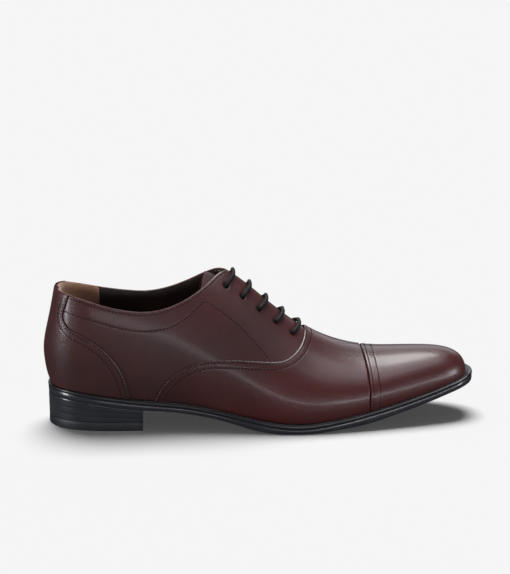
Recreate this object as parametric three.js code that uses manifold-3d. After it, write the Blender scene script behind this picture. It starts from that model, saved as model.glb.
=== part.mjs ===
// Leather oxford shoe, right foot: closed lacing, toe cap, outer heel counter, leather sole, stacked heel.
// Millimetres. +X points to the toe, +Y to the inner (medial) side, +Z up, and the ground is z = 0.
// The upper is a set of leather layers, all of them inward offsets of one last-shaped surface.

import * as THREE from 'three';
import { mergeVertices } from 'three/addons/utils/BufferGeometryUtils.js';
import Module from 'manifold-3d';

const wasm = await Module();
wasm.setup();

// ---- driving dimensions -------------------------------------------------------------------------

const SOLE_LENGTH = 305;
const UPPER_BACK = -2.9;
const UPPER_TIP = 300.2;
const GAP = 0.3;
const STATIONS = 25;
const RING = 16;
const MIDDLE_CROWDING = 0.35;
const CREST_CROWDING = 0.5;
const ROUND_SIDES = 8;

// Cutters reach well past the shoe on every side.
const BEYOND = { back: -60, front: 340, low: -60, high: 200, side: 80 };

// Each leather layer lies between two depths under the outside of the upper.
const OVERLAY_DEPTHS = [0, 1.1];
const QUARTER_DEPTHS = [1.4, 2.5];
const STIFFENER_DEPTHS = [2.8, 3.5];
const LINING_DEPTHS = [3.8, 4.6];
const VAMP_LINING_DEPTHS = [2.8, 3.6];
const TONGUE_DEPTHS = [8.5, 9.7];
const TONGUE_LINING_DEPTHS = [10.1, 10.9];

const FACING_GAP = 4;
const LINING_GAP = FACING_GAP + 2;
const LAP = 8;
const CAP_STEP = 2.5;
const VAMP_STEP_DEPTH = 0.5;
const TOPLINE_DROP = 0.4;
const WELT_THICKNESS = 2.2;
const WELT_WIDTH = 9;
const HEEL_BREAST = 66.4;
const HEEL_LIFTS = 3;
const TOP_LIFT_THICKNESS = 6.5;
const INSOLE = { inset: 12, lift: 0.4, thickness: 2.2 };
const SOCK = { inset: 12.6, thickness: 0.8 };
const EDGE_INSET = { outsole: 0.4, lifts: 0.6, topLift: 0.9 };
const FEATHER_LIFT = 0.4;
const SHANK = { start: 42, end: 132, width: 15, thickness: 1.1 };
const CORK = { split: 100, under: 0.1 };

const EYELET_ROWS = [[127, 13.6], [138.8, 14.4], [150.6, 15.2], [162.4, 16], [174.2, 16.6]];
const BAR_LEAN = 5.5;
const EYELET = { hole: 2.3, barrel: 2.8, flange: 3.3, top: 3.1, under: 3.5, end: 4.7 };
const EYELET_HOLES = { quarter: 2.5, lining: 3.2, stay: 3.9 };
const LACE_RADIUS = 1.2;
const LACE_STEPS = 110;
const AGLET_LENGTH = 11;

// ---- curves of the last -------------------------------------------------------------------------

// Natural cubic spline through a few control points.
function spline(points) {
  const x = points.map((p) => p[0]);
  const y = points.map((p) => p[1]);
  const n = x.length;
  const lower = new Array(n).fill(0);
  const diagonal = new Array(n).fill(1);
  const upper = new Array(n).fill(0);
  const bend = new Array(n).fill(0);
  for (let i = 1; i < n - 1; i += 1) {
    lower[i] = x[i] - x[i - 1];
    upper[i] = x[i + 1] - x[i];
    diagonal[i] = 2 * (x[i + 1] - x[i - 1]);
    bend[i] = 6 * ((y[i + 1] - y[i]) / upper[i] - (y[i] - y[i - 1]) / lower[i]);
  }
  for (let i = 1; i < n; i += 1) {
    const share = lower[i] / diagonal[i - 1];
    diagonal[i] -= share * upper[i - 1];
    bend[i] -= share * bend[i - 1];
  }
  for (let i = n - 1; i >= 0; i -= 1) {
    const next = i < n - 1 ? upper[i] * bend[i + 1] : 0;
    bend[i] = (bend[i] - next) / diagonal[i];
  }
  return (t) => {
    let i = 0;
    while (i < n - 2 && t > x[i + 1]) i += 1;
    const h = x[i + 1] - x[i];
    const a = x[i + 1] - t;
    const c = t - x[i];
    return (bend[i] * a ** 3 + bend[i + 1] * c ** 3) / (6 * h)
      + (y[i] / h - (bend[i] * h) / 6) * a
      + (y[i + 1] / h - (bend[i + 1] * h) / 6) * c;
  };
}

const clamp = THREE.MathUtils.clamp;
const cosinePlace = (share) => Math.acos(clamp(1 - 2 * share, -1, 1)) / Math.PI;
const stationOf = (x) => cosinePlace((x - UPPER_BACK) / (UPPER_TIP - UPPER_BACK));
const lengthwise = (s) => UPPER_BACK + ((UPPER_TIP - UPPER_BACK) * (1 - Math.cos(Math.PI * s))) / 2;
const along = (points) => spline(points.map(([x, value]) => [stationOf(x), value]));

// Top of the welt, where the upper stands, and the crest of the upper, as heights over the length.
const weltTop = along([[-2.9, 29.2], [12, 28.5], [43, 24.4], [68, 21.2], [102, 17.6], [130, 12.0], [149, 8.4],
  [174, 5.9], [202, 8.2], [233, 13.6], [260, 19.6], [285, 26.1], [300.2, 31.1]]);
const featherHeight = (s) => weltTop(s) + FEATHER_LIFT;
const crestHeight = along([[-2.9, 137], [40, 135], [88, 126.5], [112, 117.6], [127.7, 110.6], [155, 89],
  [181, 68], [200, 57.5], [226, 49.8], [250, 48.6], [268, 48.6], [284, 47.2], [293.5, 43.6], [298.5, 38.4],
  [300.2, 31.5]]);

// Half widths of the upper at its widest, outer (lateral) and inner (medial) side.
const TOE_HALF = [[275, 28], [286, 23.2], [294, 17.6], [298.6, 10.6], [300.2, 0]];
const outerHalf = along([[-2.9, 0], [2, 16], [10, 25], [25, 32], [50, 35.5], [85, 37], [120, 42], [150, 48],
  [175, 51], [200, 49.5], [230, 42.8], [260, 33.4], ...TOE_HALF]);
const innerHalf = along([[-2.9, 0], [2, 16], [10, 25], [25, 31], [50, 33.5], [85, 34], [120, 37], [150, 41],
  [175, 46], [200, 48.3], [230, 43.4], [260, 33.6], ...TOE_HALF]);

// Each cross-section is a Bezier curve from the feather edge up to the crest.
const featherShare = along([[-2.9, 0.9], [20, 0.86], [60, 0.84], [100, 0.82], [150, 0.88], [200, 0.93],
  [260, 0.95], [300.2, 1]]);
const wallOut = along([[-2.9, 1.1], [60, 1.1], [120, 1.12], [200, 1.1], [260, 1.05], [300.2, 1]]);
const wallUp = along([[-2.9, 0.42], [60, 0.45], [120, 0.4], [160, 0.42], [200, 0.52], [250, 0.56],
  [300.2, 0.56]]);
const crestOut = along([[-2.9, 0.62], [60, 0.6], [110, 0.36], [150, 0.3], [181, 0.34], [210, 0.45],
  [250, 0.55], [300.2, 0.56]]);
const backCurve = spline([[28, 3.2], [34, 0.4], [45, -2.2], [55, -2.9], [75, 0.9], [97, 6.2], [140, 16]]);

function bezier(a, b, c, d, t) {
  const u = 1 - t;
  return a * u ** 3 + 3 * b * u * u * t + 3 * c * u * t * t + d * t ** 3;
}

// A point of the upper's outside. s runs from heel to toe, ring from the outer feather edge to the inner one.
function lastPoint(s, ring) {
  const side = ring < 0.5 ? -1 : 1;
  const v = 1 - Math.abs(2 * ring - 1);
  const half = Math.max(0, side < 0 ? outerHalf(s) : innerHalf(s));
  const foot = featherHeight(s);
  const y = side * half * bezier(featherShare(s), wallOut(s), crestOut(s), 0, v);
  const z = foot + (crestHeight(s) - foot) * bezier(0, wallUp(s), 1, 1, v);
  const backward = clamp(1 - s / 0.3, 0, 1) ** 2;
  return new THREE.Vector3(lengthwise(s) + (backCurve(z) - UPPER_BACK) * backward, y, z);
}

// ---- solids -------------------------------------------------------------------------------------

function manifoldOf(positions, triangles) {
  return new wasm.Manifold(new wasm.Mesh({
    numProp: 3,
    vertProperties: Float32Array.from(positions),
    triVerts: Uint32Array.from(triangles),
  }));
}

function solidOf(geometry) {
  const bare = geometry.index ? geometry.toNonIndexed() : geometry.clone();
  bare.deleteAttribute('normal');
  bare.deleteAttribute('uv');
  const merged = mergeVertices(bare, 1e-4);
  const triangles = [];
  const index = merged.index.array;
  for (let i = 0; i < index.length; i += 3) {
    const [a, b, c] = [index[i], index[i + 1], index[i + 2]];
    if (a !== b && b !== c && a !== c) triangles.push(a, b, c);
  }
  return manifoldOf(merged.attributes.position.array, triangles);
}

function geometryOf(solid) {
  const mesh = solid.getMesh();
  const geometry = new THREE.BufferGeometry();
  const positions = new Float32Array(mesh.numVert * 3);
  for (let i = 0; i < mesh.numVert; i += 1) {
    for (let k = 0; k < 3; k += 1) positions[3 * i + k] = mesh.vertProperties[mesh.numProp * i + k];
  }
  geometry.setAttribute('position', new THREE.BufferAttribute(positions, 3));
  geometry.setIndex(Array.from(mesh.triVerts));
  geometry.computeVertexNormals();
  return geometry;
}

const union = (solids) => solids.reduce((all, next) => all.add(next));

// Length places of the grid, closer together over the middle than a plain cosine would set them.
function stationPlace(i) {
  const share = i / STATIONS;
  return share + (MIDDLE_CROWDING * Math.sin(2 * Math.PI * share)) / (2 * Math.PI);
}

// Ring places of the grid, closer together over the tightly curved crest.
function ringPlace(j) {
  const share = 1 - Math.abs((2 * j) / RING - 1);
  const v = share * (1 + CREST_CROWDING * (1 - share));
  return j < RING / 2 ? v / 2 : 1 - v / 2;
}

// The grid of the last surface, with its back seam and its toe point merged, and its outward normals.
function buildGrid() {
  const ids = [];
  const points = [];
  for (let i = 0; i <= STATIONS; i += 1) {
    const row = [];
    for (let j = 0; j <= RING; j += 1) {
      if (i === 0 && j > RING / 2) row.push(row[RING - j]);
      else if (i === STATIONS && j > 0) row.push(row[0]);
      else {
        row.push(points.length);
        points.push(lastPoint(stationPlace(i), ringPlace(j)));
      }
    }
    ids.push(row);
  }
  const faces = [];
  const add = (a, b, c) => {
    if (a !== b && b !== c && a !== c) faces.push([a, b, c]);
  };
  for (let i = 0; i < STATIONS; i += 1) {
    for (let j = 0; j < RING; j += 1) {
      add(ids[i][j], ids[i + 1][j], ids[i + 1][j + 1]);
      add(ids[i][j], ids[i + 1][j + 1], ids[i][j + 1]);
    }
  }
  const normals = points.map(() => new THREE.Vector3());
  faces.forEach(([a, b, c]) => {
    const area = points[b].clone().sub(points[a]).cross(points[c].clone().sub(points[a]));
    [a, b, c].forEach((k) => normals[k].add(area));
  });
  normals.forEach((n) => n.normalize());
  return { ids, points, normals, faces };
}

const grid = buildGrid();

// Deep under the narrow ridge of the instep, a layer is drawn in sideways by at most this share of its own
// width, so that it keeps its depth without folding over itself.
const MOST_DRAWN_IN = 0.6;

function inward(point, normal, depth) {
  const step = normal.clone().multiplyScalar(-depth);
  const most = MOST_DRAWN_IN * Math.abs(point.y);
  if (normal.z > 0 && Math.abs(step.y) > most) {
    step.y = Math.sign(step.y) * most;
    step.z = -Math.sqrt(depth ** 2 - step.x ** 2 - step.y ** 2);
  }
  return point.clone().add(step);
}

// A leather layer: everything between two depths under the outside of the upper, open at the feather edge.
function layer([outerDepth, innerDepth]) {
  const count = grid.points.length;
  const positions = [];
  [outerDepth, innerDepth].forEach((depth) => {
    grid.points.forEach((p, k) => {
      const q = inward(p, grid.normals[k], depth);
      positions.push(q.x, q.y, q.z);
    });
  });
  const triangles = [];
  const add = (a, b, c) => {
    if (a !== b && b !== c && a !== c) triangles.push(a, b, c);
  };
  grid.faces.forEach(([a, b, c]) => {
    triangles.push(a, b, c);
    triangles.push(a + count, c + count, b + count);
  });
  for (let i = 0; i < STATIONS; i += 1) {
    const rims = [[grid.ids[i][0], grid.ids[i + 1][0]], [grid.ids[i + 1][RING], grid.ids[i][RING]]];
    rims.forEach(([a, b]) => {
      add(b, a, a + count);
      add(b, a + count, b + count);
    });
  }
  return manifoldOf(positions, triangles);
}

// A cutter with the given side-view outline, between two widths.
function sideCutter(outline, fromY, toY) {
  const shape = new THREE.Shape(outline.map(([x, z]) => new THREE.Vector2(x, z)));
  const geometry = new THREE.ExtrudeGeometry(shape, { depth: toY - fromY, bevelEnabled: false });
  geometry.rotateX(Math.PI / 2);
  geometry.translate(0, toY, 0);
  return solidOf(geometry);
}

const bothSides = (outline) => sideCutter(outline, -BEYOND.side, BEYOND.side);

function smoothOutline(points, steps) {
  const curve = new THREE.SplineCurve(points.map(([x, z]) => new THREE.Vector2(x, z)));
  return curve.getPoints(steps).map((p) => [p.x, p.y]);
}

const shifted = (points, dx, dz) => points.map(([x, z]) => [x + dx, z + dz]);

// ---- seam lines of the upper, in side view ------------------------------------------------------

const TOPLINE = [[-12, 99.6], [9, 98.6], [21, 96.2], [40, 90.8], [58, 87], [73, 86.4], [87, 89.4], [100.5, 95.3],
  [112, 102.2], [121, 108.4], [127, 110.2], [131.5, 109.4], [136, 116]];
const WING = [[73, 16], [75.5, 23], [81, 33.2], [89, 41], [98, 46.5], [112, 50.8], [132, 51.6], [150, 50.4],
  [164, 50], [173, 53.2], [180.5, 59.5], [184.5, 68.2], [186, 84]];
const COUNTER = [[15, 104], [14, 98], [11.5, 90], [9.5, 81.5], [13.5, 74.5], [24, 69], [36, 61.5], [46, 50.5],
  [52.5, 37.8], [56, 24], [57, 14]];
const CAP_SEAM = [[224.2, 64], [224.6, 52.5], [226, 46], [227, 38], [227.5, 26], [227, 4]];

// The topline dips a little less on the inner side.
const innerTopline = TOPLINE.map(([x, z]) => {
  const backDrop = 2 * clamp((30 - x) / 40, 0, 1);
  const middleRise = 2.2 * clamp((x - 30) / 30, 0, 1) * clamp((128 - x) / 15, 0, 1);
  return [x, z - backDrop + middleRise];
});
// Corners that close a side-view line round the toe or round the heel.
const roundToe = (upX, downX) => [[upX, BEYOND.high], [BEYOND.front, BEYOND.high], [BEYOND.front, BEYOND.low],
  [downX, BEYOND.low]];
const roundHeel = (downX, upZ) => [[downX, BEYOND.low], [BEYOND.back, BEYOND.low], [BEYOND.back, upZ]];

function belowTopline(line, dz) {
  const [endX] = line.at(-1);
  const [, startZ] = line[0];
  const seam = shifted(smoothOutline(line, 26), 0, dz);
  return [...seam, ...roundToe(endX, BEYOND.back), [BEYOND.back, startZ + dz]];
}

const MIDDLE_LAP = 0.001;
const toplineCut = (dz) => sideCutter(belowTopline(TOPLINE, dz), -BEYOND.side, 0)
  .add(sideCutter(belowTopline(innerTopline, dz), -MIDDLE_LAP, BEYOND.side));

const aheadOfWing = (dx, dz) => [...shifted(smoothOutline(WING, 26), dx, dz), ...roundToe(186 + dx, 73 + dx)];
const behindCounter = (dx) => [...shifted(smoothOutline(COUNTER, 20), dx, 0), ...roundHeel(57 + dx, 104)];
const aheadOfCap = (dx) => [...shifted(smoothOutline(CAP_SEAM, 8), dx, 0),
  ...roundToe(224.2 + dx, 227 + dx).reverse()];

const FACING_SPAN = [[100, 0], [240, 0], [240, BEYOND.high], [100, BEYOND.high]];
const facingGap = (width) => sideCutter(FACING_SPAN, -width / 2, width / 2);

function whereOnLast(x, y) {
  const s = stationOf(x);
  let low = y < 0 ? 0.25 : 0.5;
  let high = y < 0 ? 0.5 : 0.75;
  for (let step = 0; step < 40; step += 1) {
    const middle = (low + high) / 2;
    if (lastPoint(s, middle).y < y) low = middle;
    else high = middle;
  }
  return [s, (low + high) / 2];
}

// A point at a depth under the outside at plan position x, y near the crest, and the outward normal there.
function onUpper(x, y, depth) {
  const [s, ring] = whereOnLast(x, y);
  const step = 0.004;
  const forward = lastPoint(s + step, ring).sub(lastPoint(s - step, ring));
  const across = lastPoint(s, ring + step).sub(lastPoint(s, ring - step));
  const normal = forward.cross(across).normalize();
  return { point: lastPoint(s, ring).addScaledVector(normal, -depth), normal };
}

// ---- eyelets and lace ---------------------------------------------------------------------------

function placedOnFacing(geometry, row, side) {
  const [x, y] = EYELET_ROWS[row];
  const { point, normal } = onUpper(x, side * y, 0);
  const turn = new THREE.Quaternion().setFromUnitVectors(new THREE.Vector3(0, 0, 1), normal);
  return geometry.clone().applyQuaternion(turn).translate(point.x, point.y, point.z);
}

function facingHoles(side, radius) {
  const drill = new THREE.CylinderGeometry(radius, radius, 16, ROUND_SIDES).rotateX(Math.PI / 2);
  return union(EYELET_ROWS.map((_, row) => solidOf(placedOnFacing(drill, row, side))));
}

// A blind eyelet: a flanged ring set under the facing leather, so that none shows outside.
function eyeletGeometry() {
  const profile = [[EYELET.hole, -EYELET.end], [EYELET.barrel, -EYELET.end], [EYELET.barrel, -EYELET.under],
    [EYELET.flange, -EYELET.under], [EYELET.flange, -EYELET.top], [EYELET.hole, -EYELET.top],
    [EYELET.hole, -EYELET.end]];
  const ring = new THREE.LatheGeometry(profile.map(([r, z]) => new THREE.Vector2(r, z)), ROUND_SIDES);
  return ring.rotateX(Math.PI / 2);
}

const INSIDE = 6.7;
const OUTER_LANE = 18.5;
const INNER_LANE = 9.4;

// Down through the leather at one eyelet: from the bar outside to just under the lining.
function throughEyelet(row, side) {
  const [x, y] = EYELET_ROWS[row];
  return [[x + 0.4 * BAR_LEAN, side * (y - 3.2), -0.5], [x + 0.3, side * (y - 0.5), 0.5], [x, side * y, 2.6],
    [x, side * y, 4.6]];
}

// A bar lies square to the sloping crest, so its middle is nearer the toe than its eyelets.
function barAcross(row, side) {
  const middle = EYELET_ROWS[row][0] + 0.85 * BAR_LEAN;
  const inward = throughEyelet(row, side).reverse();
  const outward = throughEyelet(row, -side);
  return [...inward, [middle, side * 6, -1.1], [middle, -side * 6, -1.1], ...outward];
}

// Under the lining from one eyelet to another, in a lane beside the row.
function laneBetween(from, to, side, lane) {
  const [x0, y0] = EYELET_ROWS[from];
  const [x1, y1] = EYELET_ROWS[to];
  const ahead = Math.sign(x1 - x0);
  const points = [[x0 + 1.6 * ahead, side * (0.7 * y0 + 0.3 * lane), INSIDE - 0.2]];
  const first = x0 + 5 * ahead;
  const last = x1 - 5 * ahead;
  const steps = Math.max(1, Math.round(Math.abs(last - first) / 7));
  for (let k = 0; k <= steps; k += 1) {
    points.push([first + ((last - first) * k) / steps, side * lane, INSIDE]);
  }
  points.push([x1 - 1.6 * ahead, side * (0.7 * y1 + 0.3 * lane), INSIDE - 0.2]);
  return points;
}

// The tucked-in end of the lace, lying under the lining towards the toe.
function tailFrom(row, side, lane) {
  const [x, y] = EYELET_ROWS[row];
  return [[x + 1.6, side * (0.7 * y + 0.3 * lane), INSIDE - 0.2], [x + 5, side * lane, INSIDE],
    [x + 10, side * lane, INSIDE]];
}

// Straight bars outside, both ends tucked in under the facings. Row 4 is next to the toe, row 0 at the top.
const LACE_ROUTE = [
  ...tailFrom(1, -1, INNER_LANE).reverse(),
  ...barAcross(1, -1), ...laneBetween(1, 3, 1, INNER_LANE),
  ...barAcross(3, 1), ...laneBetween(3, 4, -1, INNER_LANE),
  ...barAcross(4, -1), ...laneBetween(4, 2, 1, OUTER_LANE),
  ...barAcross(2, 1), ...laneBetween(2, 0, -1, OUTER_LANE),
  ...barAcross(0, -1), ...tailFrom(0, 1, OUTER_LANE),
];

const lacePoints = LACE_ROUTE.map(([x, y, depth]) => onUpper(x, y, depth).point);

function laceGeometry() {
  const route = new THREE.CatmullRomCurve3(lacePoints, false, 'centripetal');
  const section = new THREE.Shape();
  for (let k = 0; k < ROUND_SIDES; k += 1) {
    const turn = (2 * Math.PI * k) / ROUND_SIDES;
    const [x, y] = [LACE_RADIUS * Math.cos(turn), LACE_RADIUS * Math.sin(turn)];
    if (k === 0) section.moveTo(x, y);
    else section.lineTo(x, y);
  }
  return new THREE.ExtrudeGeometry(section, { steps: LACE_STEPS, extrudePath: route, bevelEnabled: false });
}

// A plastic lace tip, lying on from the end of the lace.
function agletGeometry(end, before) {
  const direction = end.clone().sub(before).normalize();
  const tip = new THREE.CylinderGeometry(0.8 * LACE_RADIUS, LACE_RADIUS, AGLET_LENGTH, ROUND_SIDES);
  const turn = new THREE.Quaternion().setFromUnitVectors(new THREE.Vector3(0, 1, 0), direction);
  const centre = end.clone().addScaledVector(direction, AGLET_LENGTH / 2 + GAP);
  return tip.applyQuaternion(turn).translate(centre.x, centre.y, centre.z);
}

// ---- sole unit ----------------------------------------------------------------------------------

// Plan outline of the sole: half widths of the outer and inner side over the length.
const soleAlong = (points) => spline(points.map(([x, value]) => [cosinePlace(x / SOLE_LENGTH), value]));
const soleOuter = soleAlong([[0, 0], [3, 13], [10, 22], [20, 28], [35, 32], [60, 33.5], [90, 35], [130, 42],
  [149, 48], [172, 52.6], [200, 50.4], [224, 45.6], [242, 40.6], [258, 35.8], [273, 30.8], [285, 26.2],
  [294, 21.6], [300, 16], [303.4, 10.2], [305, 0]]);
const soleInner = soleAlong([[0, 0], [3, 13], [10, 22], [20, 28], [35, 31.6], [60, 32], [90, 29.5],
  [115, 29.5], [150, 36], [180, 46.5], [200, 50.5], [230, 47], [260, 37], [273, 32], [285, 27], [294, 22],
  [300, 16], [303.4, 10.2], [305, 0]]);

const SOLE_STATIONS = 30;

// Pairs of outer and inner outline points, moved inwards by an inset. The two ends are single points.
function soleOutline(inset) {
  const outline = (half, side, s) => {
    const x = (SOLE_LENGTH * (1 - Math.cos(Math.PI * s))) / 2;
    return new THREE.Vector2(x, side * half(s));
  };
  const pairs = [];
  for (let i = 0; i <= SOLE_STATIONS; i += 1) {
    const s = i / SOLE_STATIONS;
    const ends = i === 0 || i === SOLE_STATIONS;
    const pair = [[soleOuter, -1], [soleInner, 1]].map(([half, side]) => {
      const point = outline(half, side, s);
      if (ends) return point.add(new THREE.Vector2(i === 0 ? inset : -inset, 0));
      const ahead = outline(half, side, s + 0.004).sub(outline(half, side, s - 0.004)).normalize();
      return point.add(new THREE.Vector2(side * ahead.y * inset, -side * ahead.x * inset));
    });
    pairs.push(pair);
  }
  return pairs;
}

// A slab over a sole outline, between two heights that vary over the length.
function slab(inset, lower, upper) {
  const pairs = soleOutline(inset);
  const positions = [];
  const triangles = [];
  const across = 2;
  const vertex = [lower, upper].map((height) => pairs.map(([outer, inner], i) => {
    const ends = i === 0 || i === SOLE_STATIONS;
    const row = [];
    for (let j = 0; j <= across; j += 1) {
      if (ends && j > 0) row.push(row[0]);
      else {
        const p = outer.clone().lerp(inner, j / across);
        row.push(positions.length / 3);
        positions.push(p.x, p.y, height(p.x));
      }
    }
    return row;
  }));
  const add = (a, b, c) => {
    if (a !== b && b !== c && a !== c) triangles.push(a, b, c);
  };
  const quad = (a, b, c, d) => {
    add(a, b, c);
    add(a, c, d);
  };
  const [low, high] = vertex;
  for (let i = 0; i < SOLE_STATIONS; i += 1) {
    for (let j = 0; j < across; j += 1) {
      quad(high[i][j], high[i + 1][j], high[i + 1][j + 1], high[i][j + 1]);
      quad(low[i][j], low[i][j + 1], low[i + 1][j + 1], low[i + 1][j]);
    }
    quad(low[i][0], low[i + 1][0], high[i + 1][0], high[i][0]);
    quad(low[i + 1][across], low[i][across], high[i][across], high[i + 1][across]);
  }
  return manifoldOf(positions, triangles);
}

const weltUpper = (x) => weltTop(stationOf(x));
const weltLower = (x) => weltUpper(x) - WELT_THICKNESS;
const outsoleUpper = (x) => weltLower(x) - GAP;

// The underside of the outsole stands flat on the ground under the ball of the foot.
const TREAD_FLAT = { start: 165, end: 185 };
const tread = spline([[-5, 22.9], [20, 21.2], [43, 17.8], [68, 14.8], [85, 13.6], [102, 11.4], [122, 7.6],
  [143, 2.2], [155, 0.4], [166, 0], [184, 0], [202, 1.6], [224, 4.2], [242, 8.1], [258, 12.1], [273, 16.1],
  [285, 19.5], [300, 23.4], [310, 25.6]]);
const outsoleLower = (x) => (x > TREAD_FLAT.start && x < TREAD_FLAT.end ? 0 : Math.max(0, tread(x)));

const heelWedge = (x) => tread(x) - GAP;

// The breast, the heel's front face, is hollowed a little.
const BREAST = { half: 34, pull: 4 };

function breastCut(clearance) {
  const face = HEEL_BREAST + clearance;
  const shape = new THREE.Shape();
  shape.moveTo(BEYOND.back, -BEYOND.side);
  shape.lineTo(face, -BEYOND.side);
  shape.lineTo(face, -BREAST.half);
  shape.quadraticCurveTo(face - BREAST.pull, 0, face, BREAST.half);
  shape.lineTo(face, BEYOND.side);
  shape.lineTo(BEYOND.back, BEYOND.side);
  const depth = BEYOND.high - BEYOND.low;
  const geometry = new THREE.ExtrudeGeometry(shape, { depth, bevelEnabled: false, curveSegments: 8 });
  return solidOf(geometry.translate(0, 0, BEYOND.low));
}

function box(x0, x1, y0, y1, z0, z1) {
  const geometry = new THREE.BoxGeometry(x1 - x0, y1 - y0, z1 - z0);
  return solidOf(geometry.translate((x0 + x1) / 2, (y0 + y1) / 2, (z0 + z1) / 2));
}

// The heel's lifts share the height between the top piece and the wedge under the heel seat.
function heelLift(index) {
  const bottom = TOP_LIFT_THICKNESS + GAP;
  const height = (x, share) => bottom + (heelWedge(x) - bottom) * share;
  const lower = (x) => height(x, index / HEEL_LIFTS);
  const upper = (x) => height(x, (index + 1) / HEEL_LIFTS) - (index < HEEL_LIFTS - 1 ? GAP : 0);
  return slab(EDGE_INSET.lifts, lower, upper).intersect(breastCut(0));
}

// The rubber top piece stands a little proud at the breast.
const TOP_LIFT_LEAD = 0.4;
const topLift = () => slab(EDGE_INSET.topLift, () => 0, () => TOP_LIFT_THICKNESS)
  .intersect(breastCut(TOP_LIFT_LEAD));

const outsole = () => slab(EDGE_INSET.outsole, outsoleLower, outsoleUpper);

function welt() {
  const hole = slab(WELT_WIDTH, (x) => weltLower(x) - WELT_THICKNESS, (x) => weltUpper(x) + WELT_THICKNESS);
  return slab(0, weltLower, weltUpper).subtract(hole);
}

// The hollow inside the welt holds a steel shank, and cork fills the rest.
const fillerLower = (x) => outsoleUpper(x) + GAP;
const inWelt = (lower, upper) => slab(WELT_WIDTH + GAP, lower, upper);
const shankSpace = (spare) => box(SHANK.start - spare, SHANK.end + spare, -SHANK.width / 2 - spare,
  SHANK.width / 2 + spare, 0, BEYOND.high);
const shank = () => inWelt(fillerLower, (x) => fillerLower(x) + SHANK.thickness).intersect(shankSpace(0));
const corkFiller = () => inWelt(fillerLower, (x) => weltUpper(x) - CORK.under).subtract(shankSpace(GAP));
const corkBetween = (start, end) => corkFiller()
  .intersect(box(start, end, -BEYOND.side, BEYOND.side, BEYOND.low, BEYOND.high));

// The insole board lies inside the feather edge, and the sock lining covers it.
const insoleLower = (x) => weltUpper(x) + INSOLE.lift;
const insoleUpper = (x) => insoleLower(x) + INSOLE.thickness;
const insole = () => slab(INSOLE.inset, insoleLower, insoleUpper);
const sock = () => slab(SOCK.inset, (x) => insoleUpper(x) + GAP, (x) => insoleUpper(x) + GAP + SOCK.thickness);

// ---- upper --------------------------------------------------------------------------------------

const overlay = layer(OVERLAY_DEPTHS);
const quarterLayer = layer(QUARTER_DEPTHS);
const stiffenerLayer = layer(STIFFENER_DEPTHS);
const liningLayer = layer(LINING_DEPTHS);
const vampLiningLayer = layer(VAMP_LINING_DEPTHS);

function toeCap() {
  return overlay.intersect(bothSides(aheadOfCap(0)));
}

// The vamp steps down under the edge of the toe cap.
function vamp() {
  const face = overlay.intersect(bothSides(aheadOfWing(0, 0))).subtract(bothSides(aheadOfCap(-GAP)));
  const step = layer([VAMP_STEP_DEPTH, QUARTER_DEPTHS[1]]).intersect(bothSides(aheadOfCap(-CAP_STEP)))
    .subtract(bothSides(aheadOfCap(-GAP)));
  const lap = quarterLayer.intersect(bothSides(aheadOfCap(-CAP_STEP))).subtract(bothSides(aheadOfCap(LAP)));
  return union([face, step, lap]);
}

const counterCover = () => overlay.intersect(bothSides(behindCounter(0))).intersect(toplineCut(0));

function halfSpace(side) {
  const [fromY, toY] = side < 0 ? [-BEYOND.side, -GAP / 2] : [GAP / 2, BEYOND.side];
  return box(BEYOND.back, BEYOND.front, fromY, toY, BEYOND.low, BEYOND.high);
}

function quarter(side) {
  return quarterLayer.intersect(toplineCut(-TOPLINE_DROP))
    .subtract(bothSides(aheadOfWing(6, -7)))
    .intersect(halfSpace(side))
    .subtract(facingGap(FACING_GAP))
    .subtract(facingHoles(side, EYELET_HOLES.quarter));
}

const vampInterlining = () => quarterLayer.intersect(bothSides(aheadOfWing(7, -7.6)))
  .subtract(bothSides(aheadOfCap(-CAP_STEP - GAP)));
const toePuff = () => quarterLayer.intersect(bothSides(aheadOfCap(LAP + GAP)));

const STIFFENER_OUTLINE = [...roundHeel(74, 72), [20, 68], [44, 60], [62, 46], [70, 26]].reverse();
const heelStiffener = () => stiffenerLayer.intersect(bothSides(STIFFENER_OUTLINE));

// A strip of interlining along the eyelets.
const STAY_OUTLINE = [[118, 84], [124, 78], [150, 60], [171, 48.5], [183, 60], [190, 140], [118, 140]];
const STAY_DROP = 3;

function facingStay(side) {
  return stiffenerLayer.intersect(bothSides(STAY_OUTLINE))
    .intersect(toplineCut(-STAY_DROP))
    .intersect(halfSpace(side))
    .subtract(facingGap(LINING_GAP))
    .subtract(facingHoles(side, EYELET_HOLES.stay));
}

const LINING_JOINT = [[96, 8], [112, 34], [150, 42], [176, 46], [189, 70], ...roundToe(189, 94)];
const vampLining = () => vampLiningLayer.intersect(bothSides(LINING_JOINT));

// Suede lines the heel, as far forward as this side-view edge.
const GRIP_EDGE = 38;
const gripOutline = (edge) => [[edge, 60], ...roundHeel(edge - 4, BEYOND.high), [edge + 2, BEYOND.high]];

const wallLining = () => liningLayer.intersect(toplineCut(-TOPLINE_DROP));
const heelGrip = () => wallLining().intersect(bothSides(gripOutline(GRIP_EDGE)));

function quarterLining(side) {
  return wallLining()
    .subtract(bothSides(shifted(LINING_JOINT, -GAP, 0)))
    .subtract(bothSides(gripOutline(GRIP_EDGE + GAP)))
    .intersect(halfSpace(side))
    .subtract(facingGap(LINING_GAP))
    .subtract(facingHoles(side, EYELET_HOLES.lining));
}

// The tongue lies under the facings and the lace, from the throat up past the topline.
const THROAT = 182;
const TONGUE_HALF_WIDTHS = [[96, 27], [140, 29], [183, 22]];

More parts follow.
